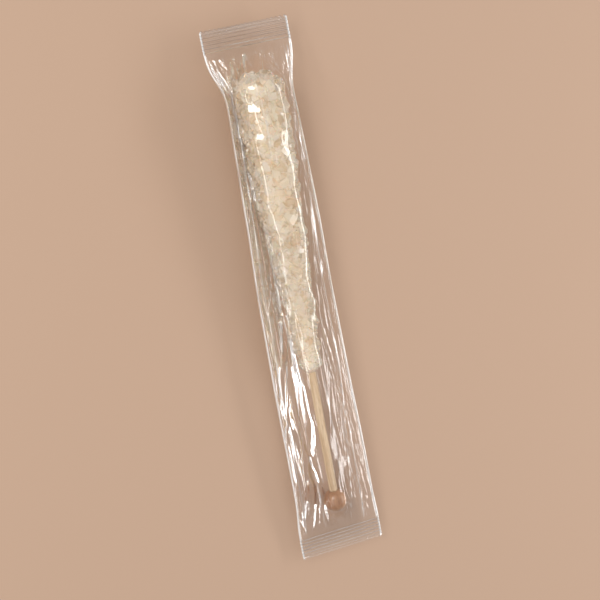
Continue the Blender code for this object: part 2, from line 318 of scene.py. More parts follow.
@dataclass(frozen=True)
class CandyShape:
    """The outline that the crystals grow to, as a radius along the candy from its thick tip."""

    length: float = 110.0 * MM
    thick_radius: float = 9.0 * MM
    thin_radius: float = 3.6 * MM
    taper: float = 1.3
    round_tip: float = 0.07
    round_foot: float = 0.05
    foot_drawn_in: float = 0.7

    def radius(self, along: np.ndarray) -> np.ndarray:
        """Reach of the crystals.

        It falls from thick to thin with a power of the distance, rounded off like a ball at the tip
        and drawn in at the foot.

        Args:
            along: Distance from the tip.

        Returns:
            The radius there, 0 beyond the tip.
        """
        t = np.clip(along / self.length, 0.0, 1.0)
        body = self.thick_radius + (self.thin_radius - self.thick_radius) * t**self.taper
        tip = np.sqrt(np.clip(1 - (1 - np.minimum(t / self.round_tip, 1.0)) ** 2, 0.0, 1.0))
        close = np.clip((t - 1 + self.round_foot) / self.round_foot, 0.0, 1.0)
        return body * tip * np.sqrt(1 - self.foot_drawn_in * close**2)


# ---------------------------------------------------------------- materials


class NodeTree:
    """Short forms for building one tree of shader nodes."""

    def __init__(self, tree: bpy.types.NodeTree) -> None:
        """Starts from an empty tree."""
        self.tree = tree
        tree.nodes.clear()

    def add(self, kind: str, **settings: object) -> bpy.types.Node:
        """Adds a node.

        Args:
            kind: Its type, with or without the leading ShaderNode.
            settings: Its properties by name.

        Returns:
            The new node.
        """
        node = self.tree.nodes.new(kind if kind.startswith("Node") else f"ShaderNode{kind}")
        for key, value in settings.items():
            setattr(node, key, value)
        return node

    def put(self, socket: bpy.types.NodeSocket, value: object) -> None:
        """Sets an input.

        Args:
            socket: The input.
            value: A plain value, or a socket to link into it.
        """
        if isinstance(value, bpy.types.NodeSocket):
            self.tree.links.new(value, socket)
        else:
            socket.default_value = value

    def feed(self, node: bpy.types.Node, **inputs: object) -> bpy.types.Node:
        """Sets or links a node's inputs.

        Args:
            node: The node.
            inputs: Values or sockets, by input name with its spaces written as underscores.

        Returns:
            The same node.
        """
        for key, value in inputs.items():
            self.put(node.inputs[key.replace("_", " ")], value)
        return node

    def reckon(self, operation: str, *numbers: object, clamp: bool = False) -> bpy.types.NodeSocket:
        """One step of arithmetic.

        Args:
            operation: What is done, as the Math node names it.
            numbers: What it is done to, as values or sockets.
            clamp: Whether the result is held between 0 and 1.

        Returns:
            The result's socket.
        """
        node = self.add("Math", operation=operation, use_clamp=clamp)
        for socket, value in zip(node.inputs, numbers):
            self.put(socket, value)
        return node.outputs[0]

    def place(self, stretch: object = None) -> bpy.types.NodeSocket:
        """A point's own place.

        Args:
            stretch: A factor along each axis, as a value or a socket.

        Returns:
            The place's socket.
        """
        place = self.add("TexCoord").outputs["Object"]
        if stretch is None:
            return place
        node = self.add("VectorMath", operation="MULTIPLY")
        self.put(node.inputs[0], place)
        self.put(node.inputs[1], stretch)
        return node.outputs[0]

    def map_range(
        self, value: bpy.types.NodeSocket, source: tuple[float, float], target: tuple[float, float]
    ) -> bpy.types.NodeSocket:
        """Carries a value from one range to another, held at both ends.

        Args:
            value: The value's socket.
            source: The range that it comes from.
            target: The range that it goes to.

        Returns:
            The new value's socket.
        """
        node = self.add("MapRange")
        self.feed(node, Value=value, From_Min=source[0], From_Max=source[1])
        return self.feed(node, To_Min=target[0], To_Max=target[1]).outputs["Result"]

    def mix_colour(self, share: object, low: object, high: object) -> bpy.types.NodeSocket:
        """Blends two colours.

        Args:
            share: The second colour's share.
            low: The first colour.
            high: The second.

        Returns:
            The blend's socket.
        """
        node = self.add("Mix", data_type="RGBA")
        factor, first, second = (node.inputs[number] for number in (0, 6, 7))
        self.put(factor, share)
        self.put(first, low)
        self.put(second, high)
        return node.outputs[2]


def rgb(red: float, green: float, blue: float) -> Colour:
    """A colour with no transparency."""
    return (red, green, blue, 1.0)


class Pattern(Enum):
    """The patterns that more than one finish uses, each a shader node group."""

    CLOUD = "cloud"
    WOOD = "wood_grain"

    def group(self) -> bpy.types.NodeTree:
        """The pattern's node group, built the first time.

        Returns:
            The group.
        """
        made = bpy.data.node_groups.get(self.value)
        if made is None:
            made = bpy.data.node_groups.new(self.value, "ShaderNodeTree")
            builder = {Pattern.CLOUD: self._cloud, Pattern.WOOD: self._wood}[self]
            builder(made)
        return made

    @staticmethod
    def _sockets(tree: bpy.types.NodeTree, inputs: dict[str, float], outputs: list[str]) -> None:
        """Gives a group its named numbers in and its masks out.

        Args:
            tree: The group.
            inputs: The numbers' names and what they are unless set.
            outputs: The masks' names.
        """
        for name, default in inputs.items():
            socket = tree.interface.new_socket(name=name, in_out="INPUT", socket_type="NodeSocketFloat")
            socket.default_value = default
        for name in outputs:
            tree.interface.new_socket(name=name, in_out="OUTPUT", socket_type="NodeSocketFloat")

    @classmethod
    def _cloud(cls, tree: bpy.types.NodeTree) -> None:
        """Soft uneven patches: noise at the given scale, with its contrast raised.

        Args:
            tree: The group, which is filled.
        """
        cls._sockets(tree, {"Scale": 300.0, "Contrast": 2.0}, ["Mask"])
        nodes = NodeTree(tree)
        given = nodes.add("NodeGroupInput").outputs
        noise = nodes.add("TexNoise")
        nodes.feed(noise, Vector=nodes.place(), Scale=given["Scale"], Detail=4.0, Roughness=0.6)
        centred = nodes.reckon("SUBTRACT", noise.outputs["Fac"], 0.5)
        raised = nodes.reckon("MULTIPLY_ADD", centred, given["Contrast"], 0.5, clamp=True)
        nodes.feed(nodes.add("NodeGroupOutput"), Mask=raised)

    @classmethod
    def _wood(cls, tree: bpy.types.NodeTree) -> None:
        """Grain along Y: growth bands warped by noise, with fine dark pores drawn out along them.

        Args:
            tree: The group, which is filled.
        """
        cls._sockets(tree, {"Bands": 900.0, "Pores": 4000.0, "Stretch": 0.05}, ["Band", "Pore"])
        nodes = NodeTree(tree)
        given = nodes.add("NodeGroupInput").outputs
        along = nodes.feed(nodes.add("CombineXYZ"), X=1.0, Y=given["Stretch"], Z=1.0)
        drawn = nodes.place(along.outputs[0])
        band = nodes.add("TexNoise")
        nodes.feed(band, Vector=drawn, Scale=given["Bands"], Detail=3.0, Distortion=0.6)
        pore = nodes.add("TexNoise")
        nodes.feed(pore, Vector=drawn, Scale=given["Pores"], Detail=2.0)
        nodes.feed(
            nodes.add("NodeGroupOutput"),
            Band=nodes.map_range(band.outputs["Fac"], (0.35, 0.65), (0.0, 1.0)),
            Pore=nodes.map_range(pore.outputs["Fac"], (0.55, 0.72), (0.0, 1.0)),
        )


@dataclass(frozen=True)
class Finish:
    """One surface finish: a name and the tree that a subclass fills."""

    name: str

    def material(self) -> bpy.types.Material:
        """The finish as a material, built the first time it is asked for.

        Returns:
            The material.
        """
        made = bpy.data.materials.get(self.name)
        if made is None:
            made = bpy.data.materials.new(self.name)
            made.use_nodes = True
            nodes = NodeTree(made.node_tree)
            surface = nodes.add("OutputMaterial")
            nodes.feed(surface, Surface=self.shade(nodes))
        return made

    def shade(self, nodes: NodeTree) -> bpy.types.NodeSocket:
        """Builds the nodes and returns the shader's socket."""
        raise NotImplementedError

    @staticmethod
    def pattern(nodes: NodeTree, pattern: Pattern, **inputs: float) -> bpy.types.Node:
        """Places a pattern in a material, with the numbers that it takes there."""
        node = nodes.add("Group", node_tree=pattern.group())
        return nodes.feed(node, **inputs)

    @staticmethod
    def bump(
        nodes: NodeTree, height: bpy.types.NodeSocket, depth: float, strength: float
    ) -> bpy.types.NodeSocket:
        """Tilts the surface by a height.

        Args:
            nodes: The material's tree.
            height: The height, from 0 to 1.
            depth: What a height of 1 is, in metres.
            strength: Share of the tilt that is kept.

        Returns:
            The tilted normal's socket.
        """
        node = nodes.add("Bump")
        nodes.feed(node, Height=height, Distance=depth, Strength=strength)
        return node.outputs["Normal"]

    @staticmethod
    def lit_through(nodes: NodeTree, shader: bpy.types.Node, tint: object) -> bpy.types.NodeSocket:
        """A shader that lets lamps light what is behind it.

        Args:
            nodes: The material's tree.
            shader: What is seen.
            tint: The colour that a lamp's light keeps, as a value or a socket.

        Returns:
            The mixed shader's output.
        """
        lamp_light = nodes.feed(nodes.add("BsdfTransparent"), Color=tint)
        mix = nodes.add("MixShader")
        nodes.put(mix.inputs[0], nodes.add("LightPath").outputs["Is Shadow Ray"])
        nodes.put(mix.inputs[1], shader.outputs[0])
        nodes.put(mix.inputs[2], lamp_light.outputs[0])
        return mix.outputs[0]


@dataclass(frozen=True)
class CrystalFinish(Finish):
    """Sugar crystals: clear to milky, faintly cream, with glassy faces that frost over in places."""

    clear_tint: Colour = rgb(0.98, 0.95, 0.90)
    cream_tint: Colour = rgb(0.96, 0.88, 0.75)
    deep_tint: Colour = rgb(0.80, 0.66, 0.50)
    shadow_tint: Colour = rgb(0.76, 0.70, 0.61)
    transmission: float = 0.62
    milkiness: float = 0.4

    def shade(self, nodes: NodeTree) -> bpy.types.NodeSocket:
        """Colour follows each crystal's own tone and a cloud through it, and frost roughens it.

        Lamps shine through the sugar, tinted, so that its milky core is lit.

        Args:
            nodes: The material's tree, which is filled.

        Returns:
            The shader's socket.
        """
        cloud = self.pattern(nodes, Pattern.CLOUD, Scale=160.0, Contrast=2.0).outputs["Mask"]
        frost = self.pattern(nodes, Pattern.CLOUD, Scale=420.0, Contrast=3.0).outputs["Mask"]
        growth = self.pattern(nodes, Pattern.CLOUD, Scale=2600.0, Contrast=2.0).outputs["Mask"]
        body = nodes.mix_colour(cloud, self.clear_tint, self.cream_tint)
        tone = nodes.add("Attribute", attribute_name="tone").outputs["Fac"]
        depth = nodes.map_range(tone, (0.55, 1.0), (0.0, 1.0))
        shader = nodes.add("BsdfPrincipled")
        nodes.feed(
            shader,
            Base_Color=nodes.mix_colour(depth, body, self.deep_tint),
            Roughness=nodes.map_range(frost, (0.25, 1.0), (0.03, 0.14)),
            IOR=SUGAR_REFRACTION,
            Specular_IOR_Level=0.75,
            Transmission_Weight=self.transmission,
            Subsurface_Weight=self.milkiness,
            Subsurface_Radius=(0.0036, 0.0030, 0.0022),
            Subsurface_Scale=1.0,
            Normal=self.bump(nodes, growth, 0.02 * MM, 0.5),
        )
        return self.lit_through(nodes, shader, self.shadow_tint)


@dataclass(frozen=True)
class CoreFinish(Finish):
    """The mass of small crystals under the large ones: milky white sugar, warm in its depths."""

    light: Colour = rgb(0.93, 0.87, 0.77)
    deep: Colour = rgb(0.84, 0.71, 0.55)

    def shade(self, nodes: NodeTree) -> bpy.types.NodeSocket:
        """Cloudy colour over a soft, slightly see-through body with a grainy surface.

        Args:
            nodes: The material's tree, which is filled.

        Returns:
            The shader's socket.
        """
        cloud = self.pattern(nodes, Pattern.CLOUD, Scale=260.0, Contrast=2.4).outputs["Mask"]
        grain = self.pattern(nodes, Pattern.CLOUD, Scale=1400.0, Contrast=3.0).outputs["Mask"]
        shader = nodes.add("BsdfPrincipled", subsurface_method="RANDOM_WALK")
        nodes.feed(
            shader,
            Base_Color=nodes.mix_colour(cloud, self.deep, self.light),
            Roughness=nodes.map_range(grain, (0.0, 1.0), (0.2, 0.45)),
            Subsurface_Weight=0.6,
            Subsurface_Radius=(0.004, 0.003, 0.002),
            Subsurface_Scale=0.5,
            IOR=SUGAR_REFRACTION,
            Normal=self.bump(nodes, grain, 0.25 * MM, 0.8),
        )
        return shader.outputs["BSDF"]


@dataclass(frozen=True)
class WoodFinish(Finish):
    """Bare or lightly polished wood with its grain along the stick."""

    pale: Colour = rgb(0.78, 0.60, 0.40)
    dark: Colour = rgb(0.60, 0.41, 0.24)
    pore: Colour = rgb(0.30, 0.18, 0.10)
    bands: float = 900.0
    roughness: tuple[float, float] = (0.45, 0.65)
    coat: float = 0.0

    def shade(self, nodes: NodeTree) -> bpy.types.NodeSocket:
        """Growth bands between two tones, with pores that are darker, rougher and sunk.

        Args:
            nodes: The material's tree, which is filled.

        Returns:
            The shader's socket.
        """
        grain = self.pattern(nodes, Pattern.WOOD, Bands=self.bands, Pores=5.0 * self.bands, Stretch=0.06)
        banded = nodes.mix_colour(grain.outputs["Band"], self.pale, self.dark)
        share = nodes.map_range(grain.outputs["Pore"], (0.0, 1.0), (0.0, 0.45))
        shader = nodes.add("BsdfPrincipled")
        nodes.feed(
            shader,
            Base_Color=nodes.mix_colour(share, banded, self.pore),
            Roughness=nodes.map_range(grain.outputs["Pore"], (0.0, 1.0), self.roughness),
            Coat_Weight=self.coat,
            Coat_Roughness=0.2,
            Normal=self.bump(nodes, grain.outputs["Pore"], -0.05 * MM, 0.4),
        )
        return shader.outputs["BSDF"]


@dataclass(frozen=True)
class FilmFinish(Finish):
    """Thin clear film: a mirror as bright as its Fresnel reflection, and see-through elsewhere."""

    refraction: float = 1.5
    haze: float = 0.01
    crease_haze: float = 0.8
    most_shine: float = 0.85
    lamp_share: tuple[float, float] = (1.0, 0.5)

    def shade(self, nodes: NodeTree) -> bpy.types.NodeSocket:
        """Alpha is the share of light that both faces of the film reflect, and more on a white crease.

        Faint lengthwise streaks run through it.

        Args:
            nodes: The material's tree, which is filled.

        Returns:
            The shader's socket.
        """
        streak = nodes.add("TexNoise")
        nodes.feed(streak, Vector=nodes.place((1.0, 0.03, 1.0)), Scale=1500.0, Detail=3.0)
        normal = self.bump(nodes, streak.outputs["Fac"], 0.03 * MM, 0.6)
        mirror = nodes.feed(nodes.add("Fresnel"), IOR=self.refraction, Normal=normal)
        shine = nodes.map_range(mirror.outputs["Fac"], (0.0, 1.0), (self.haze, self.most_shine))
        crease = nodes.add("Attribute", attribute_name="crease").outputs["Fac"]
        whitened = nodes.map_range(crease, (0.2, 1.0), (0.0, self.crease_haze))
        cover = nodes.reckon("ADD", shine, whitened, clamp=True)
        shader = nodes.add("BsdfPrincipled")
        nodes.feed(
            shader,
            Base_Color=rgb(0.98, 0.98, 0.98),
            Metallic=1.0,
            Roughness=nodes.map_range(crease, (0.0, 1.0), (0.06, 0.5)),
            Alpha=cover,
            Normal=normal,
        )
        return self.lit_through(nodes, shader, nodes.map_range(cover, (0.0, 1.0), self.lamp_share))


@dataclass(frozen=True)
class FloorFinish(Finish):
    """A plain warm matt surface."""

    tint: Colour = rgb(0.46, 0.31, 0.22)

    def shade(self, nodes: NodeTree) -> bpy.types.NodeSocket:
        """An even colour with a faint cloud in its roughness.

        Args:
            nodes: The material's tree, which is filled.

        Returns:
            The shader's socket.
        """
        cloud = self.pattern(nodes, Pattern.CLOUD, Scale=30.0, Contrast=1.0).outputs["Mask"]
        shader = nodes.add("BsdfPrincipled")
        nodes.feed(shader, Base_Color=self.tint, Roughness=nodes.map_range(cloud, (0.0, 1.0), (0.75, 0.85)))
        return shader.outputs["BSDF"]


# ---------------------------------------------------------------- the candy


@dataclass(frozen=True)
class CrystalHabit:
    """The form of one sugar crystal: a six-sided block whose two ends are hipped like a roof.

    In half widths: half the block's length, how far its flat top and bottom reach, half its
    thickness, the height of its hipped ends and half the length of their ridge.
    """

    half_length: float
    flat_reach: float
    half_thickness: float
    hip: float
    ridge: float

    def corners(self) -> np.ndarray:
        """Six corners round each end of the block, then the two ends of each end's ridge.

        Returns:
            The 16 corners, in crystal widths.
        """
        flat = self.flat_reach
        across = np.array([1.0, flat, -flat, -1.0, -flat, flat])
        up = self.half_thickness * np.array([0.0, 1.0, 1.0, 0.0, -1.0, -1.0])
        near = np.stack([across, np.full(6, -self.half_length), up], axis=1)
        far = near * (1.0, -1.0, 1.0)
        end = self.half_length + self.hip
        ridges = [(side * self.ridge, y, 0.0) for y in (-end, end) for side in (1.0, -1.0)]
        return 0.5 * np.vstack([near, far, ridges])

    @staticmethod
    def triangles() -> np.ndarray:
        """Two triangles for each of the six sides, and eight for each hipped end.

        Returns:
            Corner numbers of the 28 triangles, all facing outwards.
        """
        faces = []
        for k in range(6):
            n = (k + 1) % 6
            faces += [(k, 6 + k, 6 + n), (k, 6 + n, n)]
        for ring, right, left, turn in ((0, 12, 13, 1), (6, 14, 15, -1)):
            end = [(0, 1, right), (2, 3, left), (3, 4, left), (5, 0, right)]
            end += [(1, 2, right), (2, left, right), (4, 5, right), (4, right, left)]
            for face in end:
                numbers = [corner if corner > 11 else ring + corner for corner in face]
                faces.append(tuple(numbers[::turn]))
        return np.array(faces)


HABITS = (
    CrystalHabit(0.75, 0.62, 0.72, 0.35, 0.45),
    CrystalHabit(0.60, 0.75, 0.85, 0.30, 0.60),
    CrystalHabit(0.95, 0.55, 0.60, 0.45, 0.35),
    CrystalHabit(0.55, 0.80, 0.95, 0.22, 0.70),
    CrystalHabit(0.80, 0.45, 0.80, 0.50, 0.25),
)


def turning_matrices(turn: np.ndarray, about: np.ndarray) -> np.ndarray:
    """Rotation matrices by Rodrigues' formula: I + sin(t) K + (1 - cos(t)) K^2.

    Args:
        turn: Angles, in radians.
        about: Unit vectors to turn about, one for each angle.

    Returns:
        One 3 by 3 matrix for each angle.
    """
    cross = np.zeros((len(turn), 3, 3))
    cross[:, 0, 1], cross[:, 0, 2] = -about[:, 2], about[:, 1]
    cross[:, 1, 0], cross[:, 1, 2] = about[:, 2], -about[:, 0]
    cross[:, 2, 0], cross[:, 2, 1] = -about[:, 1], about[:, 0]
    sine = np.sin(turn)[:, None, None]
    rest = (1 - np.cos(turn))[:, None, None]
    return np.eye(3) + sine * cross + rest * (cross @ cross)


# Each size of bump on the milky core: its share of the relief, and its cells round and along it.
CORE_BUMPS = ((0.5, (14, 40)), (0.3, (30, 90)), (0.2, (48, 150)))
GOLDEN_ANGLE = math.pi * (3 - math.sqrt(5))
# Added to a layer's seed, so that its shapes and tones don't follow its places.
SHAPE_SEED = 100
TONE_SEED = 200


@dataclass(frozen=True)
class CrystalLayer:
    """One kind of crystal over the candy: how many, how large, how unequal and how deep they sit.

    A crystal's size goes from the thick end's to the thin end's, times a factor within the spread.
    Its middle lies below the reach of the mass by a share of that size, within the sink.
    """

    count: int
    thick_end_size: float
    thin_end_size: float
    spread: tuple[float, float]
    sink: tuple[float, float]
    seed: int


@dataclass
class Candy:
    """The mass of crystals on the dowel: a milky core and layers of grown crystals over it.

    The spans run from the candy's tip, at 0, to its foot, at 1.
    """

    axis: StickAxis
    shape: CandyShape = field(default_factory=CandyShape)
    body_share: float = 0.78
    body_span: tuple[float, float] = (0.06, 0.985)
    body_rows: int = 120
    body_columns: int = 48
    core_share: float = 0.66
    core_span: tuple[float, float] = (0.12, 0.93)
    core_rows: int = 260
    core_columns: int = 96
    core_relief: float = 0.14
    layers: tuple[CrystalLayer, ...] = (
        CrystalLayer(
            count=400,
            thick_end_size=4.2 * MM,
            thin_end_size=2.5 * MM,
            spread=(0.65, 1.4),
            sink=(0.12, 0.55),
            seed=11,
        ),
        CrystalLayer(
            count=2100,
            thick_end_size=2.1 * MM,
            thin_end_size=1.3 * MM,
            spread=(0.6, 1.4),
            sink=(0.25, 0.70),
            seed=12,
        ),
    )
    lumps: tuple[float, float] = (0.06, 0.045)
    lump_seed: int = 5
    relief_seed: int = 8
    crystal_span: tuple[float, float] = (0.002, 0.992)
    scatter_steps: int = 800
    place_jitter: tuple[float, float] = (0.1, 0.9)
    turn_jitter: float = 0.25
    slope_limits: tuple[float, float] = (-1.5, 4.0)
    stretch: tuple[float, float] = (0.8, 1.2)
    shear: float = 0.3
    lean: float = math.radians(38)
    lean_turns: int = 7
    stand_out: float = 1.2 * MM
    rest_height: float = 0.35 * MM
    tip_extra: float = 0.3 * MM
    tip_beyond: float = 0.4 * MM
    tip_along: float = 0.0

    def __post_init__(self) -> None:
        """Finds where the candy's tip is along the axis, just beyond the candy's box."""
        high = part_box("candy")[1]
        self.tip_along = self.axis.along_at(high[1]) + self.tip_beyond

    def uneven(self, turn: np.ndarray, along: np.ndarray) -> np.ndarray:
        """How lumpy the mass is, from broad and narrow noise round and along it.

        Args:
            turn: Angle about the axis.
            along: Distance from the tip.

        Returns:
            A factor on the mass's radius.
        """
        rng = np.random.default_rng(self.lump_seed)
        share = along / self.shape.length
        broad = lattice_noise(rng, turn / (2 * math.pi), share, (4, 11))
        narrow = lattice_noise(rng, turn / (2 * math.pi), share, (8, 26))
        return 1.0 + self.lumps[0] * broad + self.lumps[1] * narrow

    def mass(self, share: float, relief: float, spacing: np.ndarray, columns: int) -> Surface:
        """A turned mass whose radius is a share of the crystals' reach.

        Its relief is noise at three sizes, so it looks like small crystals grown together. Its
        circles are closer together towards its ends, by the cosine of their spacing.

        Args:
            share: The mass's radius, as a share of the reach.
            relief: Depth of the relief, as a share of the radius.
            spacing: The circles' places, from 0 at the candy's tip to 1 at its foot.
            columns: Number of points round it.

        Returns:
            The closed surface.
        """
        along = self.shape.length * (0.5 - 0.5 * np.cos(spacing * math.pi))
        angle = np.linspace(0.0, 2.0 * math.pi, columns, endpoint=False)
        turn, far = np.meshgrid(angle, along)
        rng = np.random.default_rng(self.relief_seed)
        bumps = sum(
            weight * lattice_noise(rng, turn / (2 * math.pi), far / self.shape.length, cells)
            for weight, cells in CORE_BUMPS
        )
        radius = share * self.shape.radius(far) * self.uneven(turn, far) * (1 + relief * bumps)
        return turned_surface(self.axis, radius[::-1], self.tip_along - along[::-1], columns)

    def core(self) -> bpy.types.Object:
        """The cloudy sugar in the middle, next to the dowel.

        Returns:
            The core.
        """
        spacing = np.linspace(*self.core_span, self.core_rows)
        surface = self.mass(self.core_share, self.core_relief, spacing, self.core_columns)
        return surface.to_object("candy_core", CoreFinish("milky_sugar").material(), smooth=True)

    def scatter(self, layer: CrystalLayer) -> tuple[np.ndarray, np.ndarray, np.ndarray, np.ndarray]:
        """Spreads a layer's crystals evenly over the mass, along a spiral by the golden angle.

        Smaller crystals stand closer together, so that they cover the mass as well as larger ones.
        For that, the distance of each from the tip is read off the running sum of the radius, with a
        little more for the round tip, over the square of the crystals' size there.

        Args:
            layer: The kind of crystal.

        Returns:
            Each crystal's distance from the tip, turn about the axis, size and outward slope.
        """
        rng = np.random.default_rng(layer.seed)
        steps = np.linspace(*self.crystal_span, self.scatter_steps) * self.shape.length
        thinning = (layer.thin_end_size - layer.thick_end_size) / self.shape.length
        size_at = layer.thick_end_size + thinning * steps
        weight = np.cumsum((self.shape.radius(steps) + self.tip_extra) / size_at**2)
        share = (np.arange(layer.count) + rng.uniform(*self.place_jitter, layer.count)) / layer.count
        along = np.interp(share, weight / weight[-1], steps)
        turn = np.arange(layer.count) * GOLDEN_ANGLE + rng.normal(0.0, self.turn_jitter, layer.count)
        size = np.interp(along, steps, size_at) * rng.uniform(*layer.spread, layer.count)
        step = 0.5 * MM
        slope = (self.shape.radius(along + step) - self.shape.radius(along - step)) / (2 * step)
        return along, turn, size, np.clip(slope, *self.slope_limits)

    @staticmethod
    def outward(turn: np.ndarray, slope: np.ndarray) -> tuple[np.ndarray, np.ndarray]:
        """Which way is outwards from the mass, on the stick's own axes.

        Args:
            turn: Angle about the axis.
            slope: Rise of the radius with the distance from the tip.

        Returns:
            The outward directions, and the matrices that turn +Z to face that way.
        """
        outwards = np.stack([np.cos(turn), slope, np.sin(turn)], axis=1)
        outwards /= np.linalg.norm(outwards, axis=1, keepdims=True)
        side = np.cross(outwards, np.stack([-np.sin(turn), 0 * turn, np.cos(turn)], axis=1))
        third = np.cross(outwards, side)
        return outwards, np.stack([side, third, outwards], axis=2)

    def leaning(self, rng: np.random.Generator, turn: np.ndarray) -> np.ndarray:
        """Matrices that set a crystal on any of its axes, spin it about +Z and lean it off +Z.

        Args:
            rng: Where the random turns come from.
            turn: Each crystal's angle about the stick, which also picks the way it leans.

        Returns:
            One matrix for each crystal.
        """
        count = len(turn)
        tumble = np.eye(3)[rng.permuted(np.tile([0, 1, 2], (count, 1)), axis=1)]
        about_z = np.tile([0.0, 0.0, 1.0], (count, 1))
        spin = turning_matrices(rng.uniform(0, 2 * math.pi, count), about_z)
        way = turn * self.lean_turns
        tilt_about = np.stack([np.cos(way), np.sin(way), np.zeros(count)], axis=1)
        tilt = turning_matrices(rng.normal(0, self.lean, count), tilt_about)
        unmirrored = np.sign(np.linalg.det(tumble))[:, None, None]
        return tilt @ spin @ (tumble * unmirrored)

    def crystals(self, layer: CrystalLayer) -> np.ndarray:
        """The corners of a layer's crystals.

        Each crystal is a habit's corners, scaled and sheared, turned by a random lean and then to
        face outwards, and sunk by a share of its size below the reach of the mass, or by more where
        a corner would stand out too far. Those underneath are lifted clear of the back sheet.

        Args:
            layer: The kind of crystal.

        Returns:
            The places of each crystal's 16 corners.
        """
        along, turn, size, slope = self.scatter(layer)
        rng = np.random.default_rng(layer.seed + SHAPE_SEED)
        library = np.stack([habit.corners() for habit in HABITS])
        corners = library[rng.integers(0, len(HABITS), layer.count)]
        corners = corners * rng.uniform(*self.stretch, (layer.count, 1, 3))
        corners[:, :, 0] += rng.uniform(-self.shear, self.shear, (layer.count, 1)) * corners[:, :, 2]
        outwards, facing = self.outward(turn, slope)
        turned = facing @ self.leaning(rng, turn)
        placed = np.einsum("nij,nkj->nki", turned, corners * size[:, None, None])
        reach = self.shape.radius(along) * self.uneven(turn, along)
        middle = np.stack([reach * np.cos(turn), self.tip_along - along, reach * np.sin(turn)], axis=1)
        peak = np.einsum("nkj,nj->nk", placed, outwards).max(axis=1)
        sink = np.maximum(size * rng.uniform(*layer.sink, layer.count), peak - self.stand_out)
        local = (placed + (middle - outwards * sink[:, None])[:, None, :]).reshape(-1, 3)
        points = self.axis.place(*local.T).reshape(layer.count, -1, 3)
        points[:, :, 2] += np.maximum(self.rest_height - points[:, :, 2].min(axis=1), 0.0)[:, None]
        return points

    def blocks(self) -> bpy.types.Collection:
        """Every crystal of every layer as an object of its own, with a tone of its own.

        Returns:
            The collection that holds them.
        """
        blocks = bpy.data.collections.new("crystal_blocks")
        triangles = CrystalHabit.triangles().tolist()
        for layer in self.layers:
            tones = np.random.default_rng(layer.seed + TONE_SEED).uniform(0.0, 1.0, layer.count)
            for corners, tone in zip(self.crystals(layer), tones, strict=True):
                mesh = bpy.data.meshes.new("crystal_block")
                mesh.from_pydata(corners.tolist(), [], triangles)
                tint_faces(mesh, "tone", tone)
                blocks.objects.link(bpy.data.objects.new("crystal_block", mesh))
        bpy.context.scene.collection.children.link(blocks)
        return blocks

    def grown_together(self) -> bpy.types.Object:
        """One clear mass: every crystal, united with a smooth body under them.

        One Boolean adds the whole collection of blocks to the body, so that no crystal's faces are
        left inside another. The hollows that it shuts in are then dropped.

        Returns:
            The crystals.
        """
        spacing = np.linspace(*self.body_span, self.body_rows)
        body = self.mass(self.body_share, 0.0, spacing, self.body_columns)
        finish = CrystalFinish("grown_sugar").material()
        whole = body.to_object("sugar_crystals", finish, smooth=False)
        plain = whole.data
        tint_faces(plain, "tone", 0.5)
        blocks = self.blocks()
        union = whole.modifiers.new("Grown together", "BOOLEAN")
        union.operation = "UNION"
        union.operand_type = "COLLECTION"
        union.collection = blocks
        union.solver = "MANIFOLD"
        graph = bpy.context.evaluated_depsgraph_get()
        whole.data = bpy.data.meshes.new_from_object(whole.evaluated_get(graph))
        whole.modifiers.clear()
        whole.data.materials.clear()
        whole.data.materials.append(finish)
        keep_largest(whole.data)
        for block in list(blocks.objects):
            bpy.data.meshes.remove(block.data)
        bpy.data.collections.remove(blocks)
        bpy.data.meshes.remove(plain)
        LOG.info("sugar_crystals: %d faces after the union", len(whole.data.polygons))
        return whole

    def build(self) -> bpy.types.Object:
        """Makes the core and the crystals, in place of the plain candy.

        Returns:
            The crystals.
        """
        sugar = self.grown_together()
        for piece in (self.core(), sugar):
            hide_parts("candy")
        return sugar


# ---------------------------------------------------------------- the handle


